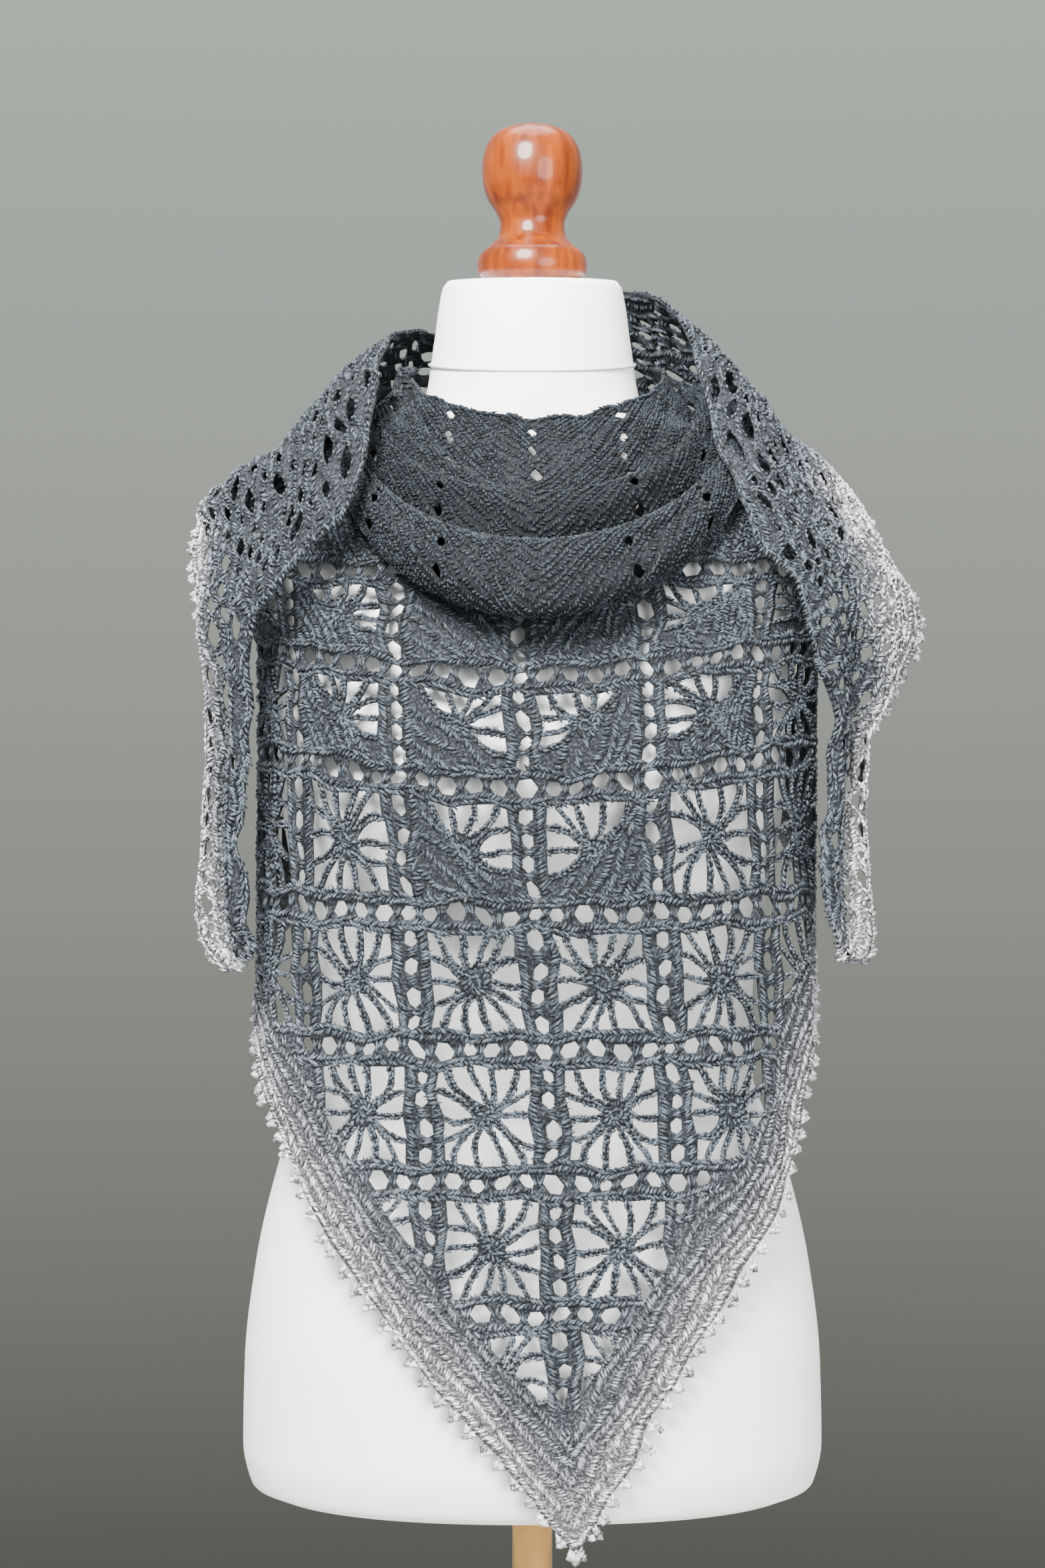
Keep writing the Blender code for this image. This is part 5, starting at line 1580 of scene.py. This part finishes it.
def new_group(name, inputs, outputs):
    """An empty shader node group with float, vector or colour sockets."""
    kinds = {"F": "NodeSocketFloat", "V": "NodeSocketVector", "C": "NodeSocketColor"}
    group = bpy.data.node_groups.new(name, "ShaderNodeTree")
    for in_out, sockets in (("INPUT", inputs), ("OUTPUT", outputs)):
        for label, kind, default in sockets:
            socket = group.interface.new_socket(label, in_out=in_out, socket_type=kinds[kind])
            if default is not None:
                socket.default_value = default
    return group, group.nodes.new("NodeGroupInput"), group.nodes.new("NodeGroupOutput")


def speckle_group():
    """Fine mottling: a colour made lighter and darker by a value and by soft noise, and the noise
    as a height."""
    if "speckle" in bpy.data.node_groups:
        return bpy.data.node_groups["speckle"]
    group, given, result = new_group(
        "speckle",
        (
            ("Colour", "C", (0.5, 0.5, 0.5, 1.0)),
            ("Value", "F", 0.0),
            ("Value Depth", "F", 0.2),
            ("Noise Depth", "F", 0.3),
            ("Noise Scale", "F", 900.0),
        ),
        (("Colour", "C", None), ("Height", "F", None)),
    )
    nodes, link = group.nodes, group.links.new

    def reckon(operation, *values):
        """A sum on sockets and numbers."""
        node = nodes.new("ShaderNodeMath")
        node.operation = operation
        for socket, value in zip(node.inputs, values):
            if isinstance(value, bpy.types.NodeSocket):
                link(value, socket)
            else:
                socket.default_value = value
        return node.outputs[0]

    place = nodes.new("ShaderNodeTexCoord")
    noise = nodes.new("ShaderNodeTexNoise")
    noise.inputs["Detail"].default_value = 2.0
    link(place.outputs["Object"], noise.inputs["Vector"])
    link(given.outputs["Noise Scale"], noise.inputs["Scale"])
    centred = reckon("SUBTRACT", noise.outputs["Fac"], 0.5)
    by_noise = reckon("MULTIPLY", centred, given.outputs["Noise Depth"])
    value, depth = given.outputs["Value"], given.outputs["Value Depth"]
    factor = reckon("ADD", reckon("MULTIPLY_ADD", value, depth, by_noise), 1.0)
    scaled = nodes.new("ShaderNodeVectorMath")
    scaled.operation = "SCALE"
    link(given.outputs["Colour"], scaled.inputs[0])
    link(reckon("MAXIMUM", factor, SPECKLE_LEAST), scaled.inputs["Scale"])
    link(scaled.outputs[0], result.inputs["Colour"])
    link(noise.outputs["Fac"], result.inputs["Height"])
    return group


def colour_ramp(tree, *stops):
    """A colour ramp with its stops, each as (position, colour)."""
    ramp = tree.nodes.new("ShaderNodeValToRGB")
    elements = ramp.color_ramp.elements
    for element, (position, value) in zip(elements, (stops[0], stops[-1])):
        element.position, element.color = position, value
    for position, value in stops[1:-1]:
        elements.new(position).color = value
    return ramp


def new_material(name, roughness):
    """A material, its node tree and its shader."""
    material = bpy.data.materials.new(name)
    material.use_nodes = True
    tree = material.node_tree
    shader = tree.nodes["Principled BSDF"]
    shader.inputs["Roughness"].default_value = roughness
    return material, tree, shader


def speckled(tree, shader, value, value_depth, noise_depth, noise_scale, relief):
    """Places the speckle group in a material, with its height as a bump."""
    group = tree.nodes.new("ShaderNodeGroup")
    group.node_tree = speckle_group()
    if value:
        fleck_and_shade = tree.nodes.new("ShaderNodeAttribute")
        fleck_and_shade.attribute_name = value
        tree.links.new(fleck_and_shade.outputs["Fac"], group.inputs["Value"])
    group.inputs["Value Depth"].default_value = value_depth
    group.inputs["Noise Depth"].default_value = noise_depth
    group.inputs["Noise Scale"].default_value = noise_scale
    bump = tree.nodes.new("ShaderNodeBump")
    bump.inputs["Strength"].default_value = 1.0
    bump.inputs["Distance"].default_value = relief
    tree.links.new(group.outputs["Height"], bump.inputs["Height"])
    tree.links.new(bump.outputs["Normal"], shader.inputs["Normal"])
    tree.links.new(group.outputs["Colour"], shader.inputs["Base Color"])
    return group


def yarn_finish(look):
    """Marl yarn: a ramp from dark slate to pale lilac by tone, flecked strand by strand, and darkened
    on the cloth under the strands as painted shade.
    """
    if "marl_yarn" in bpy.data.materials:
        return bpy.data.materials["marl_yarn"]
    material, tree, shader = new_material("marl_yarn", 0.88)
    shader.inputs["Specular IOR Level"].default_value = 0.25
    tone = tree.nodes.new("ShaderNodeAttribute")
    tone.attribute_name = "tone"
    ramp = colour_ramp(tree, (0.0, look.dark), (0.5, look.middle), (1.0, look.pale))
    tree.links.new(tone.outputs["Fac"], ramp.inputs["Fac"])
    # One value brings both the strands' random flecks and the painted shade on the cloth beneath them
    group = speckled(tree, shader, "fleck_and_shade", 0.66, 3.4, 640.0, 0.0006)
    tree.links.new(ramp.outputs["Color"], group.inputs["Colour"])
    return material


def cover_finish(name, colour):
    """Jersey: a fine even knit."""
    material, tree, shader = new_material(name, 0.85)
    group = speckled(tree, shader, None, 0.0, 0.06, 1300.0, 0.00012)
    group.inputs["Colour"].default_value = colour
    return material


def wood_finish(look):
    """Varnished wood: fine upright grain in two browns under a clear coat."""
    material, tree, shader = new_material("varnished_wood", 0.35)
    shader.inputs["Coat Weight"].default_value = 0.24
    shader.inputs["Specular IOR Level"].default_value = 0.2
    shader.inputs["Coat Roughness"].default_value = 0.08
    place = tree.nodes.new("ShaderNodeTexCoord")
    stretch = tree.nodes.new("ShaderNodeMapping")
    stretch.inputs["Scale"].default_value = (60.0, 60.0, 7.0)
    grain = tree.nodes.new("ShaderNodeTexNoise")
    grain.inputs["Scale"].default_value = 2.5
    grain.inputs["Detail"].default_value = 4.0
    ramp = colour_ramp(tree, (0.32, look.wood_dark), (0.72, look.wood))
    tree.links.new(place.outputs["Object"], stretch.inputs["Vector"])
    tree.links.new(stretch.outputs["Vector"], grain.inputs["Vector"])
    tree.links.new(grain.outputs["Fac"], ramp.inputs["Fac"])
    tree.links.new(ramp.outputs["Color"], shader.inputs["Base Color"])
    return material


def brass_finish(look):
    """Satin brass with faint tarnish."""
    material, tree, shader = new_material("satin_brass", 0.32)
    shader.inputs["Metallic"].default_value = 1.0
    group = speckled(tree, shader, None, 0.0, 0.35, 45.0, 0.00002)
    group.inputs["Colour"].default_value = look.brass
    return material


def floor_finish(colour):
    """Matt pale paper with a trace of mottling."""
    material, tree, shader = new_material("studio_floor", 0.95)
    group = speckled(tree, shader, None, 0.0, 0.03, 3.0, 0.0001)
    group.inputs["Colour"].default_value = colour
    return material


def studio_air(look):
    """What surrounds the stand: a backdrop, which the camera alone sees, paler with height and darker
    towards its foot as painted shade of light falling off, and an even soft light on everything."""
    world = bpy.data.worlds.new("studio_air")
    world.use_nodes = True
    tree = world.node_tree
    light = tree.nodes["Background"]
    light.inputs["Color"].default_value = (0.95, 0.97, 1.0, 1.0)
    light.inputs["Strength"].default_value = 0.72
    place = tree.nodes.new("ShaderNodeTexCoord")
    axes = tree.nodes.new("ShaderNodeSeparateXYZ")
    rise = tree.nodes.new("ShaderNodeMapRange")
    rise.inputs["From Min"].default_value = -BACKDROP_SHADE_RISE
    rise.inputs["From Max"].default_value = BACKDROP_SHADE_RISE
    # A ramp of painted light: paler at the top, and painted shade down towards the foot
    ramp = colour_ramp(
        tree, (0.0, look.backdrop_shaded_foot), (0.5, look.backdrop_half_shaded), (1.0, look.backdrop)
    )
    paper = tree.nodes.new("ShaderNodeBackground")
    seen = tree.nodes.new("ShaderNodeLightPath")
    mix = tree.nodes.new("ShaderNodeMixShader")
    tree.links.new(place.outputs["Generated"], axes.inputs["Vector"])
    tree.links.new(axes.outputs["Z"], rise.inputs["Value"])
    tree.links.new(rise.outputs["Result"], ramp.inputs["Fac"])
    tree.links.new(ramp.outputs["Color"], paper.inputs["Color"])
    tree.links.new(seen.outputs["Is Camera Ray"], mix.inputs["Fac"])
    tree.links.new(light.outputs["Background"], mix.inputs[1])
    tree.links.new(paper.outputs["Background"], mix.inputs[2])
    tree.links.new(mix.outputs["Shader"], tree.nodes["World Output"].inputs["Surface"])
    return world


def colour(label, text, value):
    """A colour that a user can set."""
    return bpy.props.FloatVectorProperty(
        name=label, description=text, subtype="COLOR", size=4, min=0, max=1, default=value
    )


def length(label, text, value, low, high):
    """A length that a user can set."""
    return bpy.props.FloatProperty(
        name=label, description=text, unit="LENGTH", default=value, min=low, max=high, precision=4
    )


class ShawlYarn(bpy.types.PropertyGroup):
    """Yarn of the shawl."""

    dark: colour("Dark", "Yarn at the throat", (0.008, 0.011, 0.0145, 1.0))
    middle: colour("Middle", "Yarn half way down", (0.064, 0.076, 0.090, 1.0))
    pale: colour("Pale", "Yarn at the bordered edge", (0.430, 0.424, 0.440, 1.0))
    step: length("Sheet step", "Spacing of the cloth's inner points", 0.007, 0.003, 0.02)


class FormLook(bpy.types.PropertyGroup):
    """Dress form and stand."""

    cover: colour("Cover", "Jersey of the torso", (0.960, 0.965, 0.955, 1.0))
    wood: colour("Wood", "Light grain of the finial", (0.235, 0.045, 0.0008, 1.0))
    wood_dark: colour("Wood grain", "Dark grain of the finial", (0.090, 0.012, 0.0003, 1.0))
    brass: colour("Brass", "Pole and foot", (0.560, 0.330, 0.120, 1.0))
    # The cord is the seam's real ridge; its grey is painted shade of the groove along the seam
    cord: colour("Neck cord", "Cord sewn into the neck seam", (0.330, 0.370, 0.400, 1.0))
    seam: length("Neck seam", "Radius of the corded seam at the neck", 0.0007, 0.0, 0.003)


class StudioLook(bpy.types.PropertyGroup):
    """Backdrop, light and camera."""

    # The backdrop's colours are painted light: pale at the top and darker down to its foot, as painted
    # shade of the light falling off
    backdrop: colour("Backdrop", "Backdrop at the top", (0.500, 0.565, 0.505, 1.0))
    backdrop_half_shaded: colour("Backdrop middle", "Backdrop half way up", (0.325, 0.340, 0.305, 1.0))
    backdrop_shaded_foot: colour("Backdrop foot", "Backdrop at its foot", (0.102, 0.102, 0.089, 1.0))
    floor: colour("Floor", "Pale floor under the stand", (0.420, 0.430, 0.420, 1.0))
    lens: bpy.props.FloatProperty(
        name="Lens", description="Focal length in millimetres", unit="CAMERA", default=65.3, min=20
    )
    away: length("Camera distance", "From the camera to the form's middle", 1.75, 0.5, 5.0)


class SHAWL_OT_hanging(bpy.types.Operator):
    """Dress the hanging cloth: the front panel and both halves of the back"""

    bl_idname = "shawl.hanging"
    bl_label = "Hanging lace"

    def execute(self, context):
        yarn = yarn_finish(context.scene.shawl_yarn)
        step = context.scene.shawl_yarn.step
        plain, lifted = Sagging(Shell()), Sagging(Shell(lift_side=1))
        front = Hanging(plain, -PANEL_HALF, PANEL_HALF, panel_top_level)
        hang("panel", front, yarn, 1, "front_panel", step)
        left = Hanging(plain, -WING_END[-1], -PANEL_HALF - PANEL_SEAM, wing_top)
        hang("left_back", left, yarn, 11, "back_wing_left", step)
        right = Hanging(lifted, PANEL_HALF + PANEL_SEAM, WING_END[1], wing_top)
        hang("right_back", right, yarn, 21, "back_wing_right", step)
        return {"FINISHED"}


class SHAWL_OT_cowl(bpy.types.Operator):
    """Dress the folds of the cowl at the throat"""

    bl_idname = "shawl.cowl"
    bl_label = "Cowl"

    def execute(self, context):
        yarn = yarn_finish(context.scene.shawl_yarn)
        hanging = hanging_cover()
        folds = (("neck_band", NECK_BAND), ("cowl_roll", COWL_ROLL), ("cowl_drop", COWL_DROP))
        for layer, (node, table) in enumerate(folds):
            fold = Fold(table, [(hanging, CLOSE_LAYER * (layer + 1))], FOLD_CREASES[node])
            holes = fold.eyelets(layer == 0)

            # The fold's own tone with painted light over its profile: a painted highlight on the crest
            # and painted shade where it is tucked away
            def shade(chart, fold=fold, tone=COWL_TONES[node]):
                return tone * np.interp(chart[:, 0] / fold.profile, TUCK, TUCK_PAINTED_LIGHT)

            outline = fold.outline()
            sheet, left = lace_sheet(node + "_cloth", fold, outline, holes, COWL_STEP, shade)
            dress(sheet, yarn, (node,))
            strands = fold.strands(holes, shade, layer == 0)
            piece = strand_object(node + "_ridges", fold, strands, 31 + layer, yarn)
        return {"FINISHED"}


class SHAWL_OT_ends(bpy.types.Operator):
    """Dress the two ends that cross behind the neck and hang over the shoulders"""

    bl_idname = "shawl.ends"
    bl_label = "Ends"

    def execute(self, context):
        yarn = yarn_finish(context.scene.shawl_yarn)
        hanging = hanging_cover()
        over = [(hanging, CLOSE_LAYER * 3)]
        cowl = Patch(cowl_place(COWL_ENVELOPE, smooth=False), 41, 81, under=over).cover()
        under = [(hanging, LAYER), (cowl, CLOSE_LAYER)]
        for node, table, seed, border, creases, pale in (
            ("drape_left", LEFT_DRAPE, 41, 0.018, LEFT_CREASES, LEFT_PALE),
            ("drape_right", RIGHT_DRAPE, 42, 0.030, RIGHT_CREASES, RIGHT_PALE),
        ):
            end = End(table, under, border, creases, pale)
            holes = end.gaps()
            outline = end.outline()
            sheet, left = lace_sheet(node + "_cloth", end, outline, holes, END_STEP, end.tone)
            dress(sheet, yarn, (node,))
            ridges = end.strands(holes)
            trims = Strands()
            end.rims(trims, holes)
            end.finish_edges(trims)
            lining = end.strands(holes, LINING_PITCH, end.length * LINING_LENGTH, LINING_INSET)
            pieces = [
                strand_object(node + "_ridges", end, ridges, seed, yarn),
                strand_object(node + "_trims", end, trims, seed + 5, yarn),
                strand_object(node + "_lining", end, lining, seed + 9, yarn, True),
            ]
            under = [(hanging, CLOSE_LAYER), (cowl, CLOTH / 2), (end.patch.cover(), CLOSE_LAYER)]
        return {"FINISHED"}


class SHAWL_OT_form(bpy.types.Operator):
    """Make the dress form's torso with its neck seam"""

    bl_idname = "shawl.form"
    bl_label = "Dress form"

    def execute(self, context):
        look = context.scene.shawl_form
        jersey = cover_finish("ivory_jersey", look.cover)
        heights = column(FORM, FORM_COLUMNS, "z")
        fine = np.unique(np.concatenate([np.linspace(heights[0], heights[-1], 150), heights]))
        rings = np.array([form_ring(z, FORM_SIDES) for z in fine])
        torso = closed_rings("torso", rings)
        dress(torso, jersey, ("torso_form",))
        low, high = form_ring(SEAM_LOW, FORM_SIDES), form_ring(SEAM_HIGH, FORM_SIDES)
        height = (SEAM_LOW + SEAM_HIGH) / 2 + SEAM_DIP * low[:, 1]
        share = (height - low[:, 2]) / (high[:, 2] - low[:, 2])
        ring = low + (high - low) * share[:, None]
        seam = tube("neck_seam", ring * SEAM_PROUD, look.seam, CORD_SIDES)
        # The seam's ridge, coloured grey as painted shade of its groove
        dress(seam, cover_finish("seam_cord_shade", look.cord))
        return {"FINISHED"}


class SHAWL_OT_stand(bpy.types.Operator):
    """Make the turned finial, the pole and the round foot"""

    bl_idname = "shawl.stand"
    bl_label = "Stand"

    def execute(self, context):
        look = context.scene.shawl_form
        radii, heights = profile_of(FINIAL, FINIAL_COLUMNS, 90)
        finial = lathed("turned_finial", radii, heights, FINIAL_SIDES, FINIAL_Z, NECK_TILT)
        dress(finial, wood_finish(look), ("finial",))
        brass = brass_finish(look)
        radii, heights = profile_of(BASE, BASE_COLUMNS, 60)
        foot = lathed("round_foot", radii, heights, FOOT_SIDES)
        dress(foot, brass, ("stand_base",))
        ends = np.array([BASE[-1][1] + POLE_ROOM, FORM[0][0] - POLE_ROOM])
        pole = lathed("pole", np.full(2, POLE_RADIUS), ends, POLE_SIDES)
        dress(pole, brass, ("stand_pole",))
        return {"FINISHED"}


class SHAWL_OT_studio(bpy.types.Operator):
    """Set the floor and backdrop, the soft lights and the camera"""

    bl_idname = "shawl.studio"
    bl_label = "Studio"

    def execute(self, context):
        look = context.scene.shawl_studio
        near, far, half = FLOOR_REACH
        corners = [(-half, near, 0.0), (half, near, 0.0), (half, far, 0.0), (-half, far, 0.0)]
        floor = put_mesh("studio_floor", corners, np.array([(0, 1, 2), (0, 2, 3)]))
        floor.data.materials.append(floor_finish(look.floor))
        for name, place, size, power in LIGHTS:
            data = bpy.data.lights.new(name, "AREA")
            data.shape = "DISK"
            data.size = size
            data.energy = power
            lamp = bpy.data.objects.new(name, data)
            lamp.location = place
            lamp.visible_camera = False
            aim = Vector(LIGHT_AIM) - Vector(place)
            lamp.rotation_euler = aim.to_track_quat("-Z", "Y").to_euler()
            context.scene.collection.objects.link(lamp)
        context.scene.world = studio_air(look)
        data = bpy.data.cameras.new("photograph")
        data.sensor_fit = "VERTICAL"
        data.sensor_height = 36.0
        data.lens = look.lens
        camera = bpy.data.objects.new("photograph", data)
        camera.location = (-0.006, -look.away, 0.73)
        camera.rotation_euler = (math.pi / 2, 0.0, 0.0)
        context.scene.collection.objects.link(camera)
        context.scene.camera = camera
        return {"FINISHED"}


OPERATORS = (
    SHAWL_OT_hanging,
    SHAWL_OT_cowl,
    SHAWL_OT_ends,
    SHAWL_OT_form,
    SHAWL_OT_stand,
    SHAWL_OT_studio,
)
SETTINGS = (
    ("shawl_yarn", ShawlYarn),
    ("shawl_form", FormLook),
    ("shawl_studio", StudioLook),
)


class SHAWL_PT_parts(bpy.types.Panel):
    """Sizes, colours and pieces of the shawl"""

    bl_idname = "SHAWL_PT_parts"
    bl_label = "Crochet shawl"
    bl_space_type = "VIEW_3D"
    bl_region_type = "UI"
    bl_category = "Shawl"

    def draw(self, context):
        for name, group in SETTINGS:
            box = self.layout.box()
            for field in group.__annotations__:
                box.prop(getattr(context.scene, name), field)
        for operator in OPERATORS:
            self.layout.operator(operator.bl_idname)


def register():
    """Adds the settings, the operators and the panel to Blender."""
    for _, group in SETTINGS:
        bpy.utils.register_class(group)
    for name, group in SETTINGS:
        setattr(bpy.types.Scene, name, bpy.props.PointerProperty(type=group))
    for operator in OPERATORS:
        bpy.utils.register_class(operator)
    bpy.utils.register_class(SHAWL_PT_parts)


def unregister():
    """Takes them away again."""
    bpy.utils.unregister_class(SHAWL_PT_parts)
    for operator in reversed(OPERATORS):
        bpy.utils.unregister_class(operator)
    for name, group in SETTINGS:
        delattr(bpy.types.Scene, name)
        bpy.utils.unregister_class(group)


def main():
    register()
    for operator in OPERATORS:
        group, name = operator.bl_idname.split(".")
        getattr(getattr(bpy.ops, group), name)()


if __name__ == "__main__":
    main()
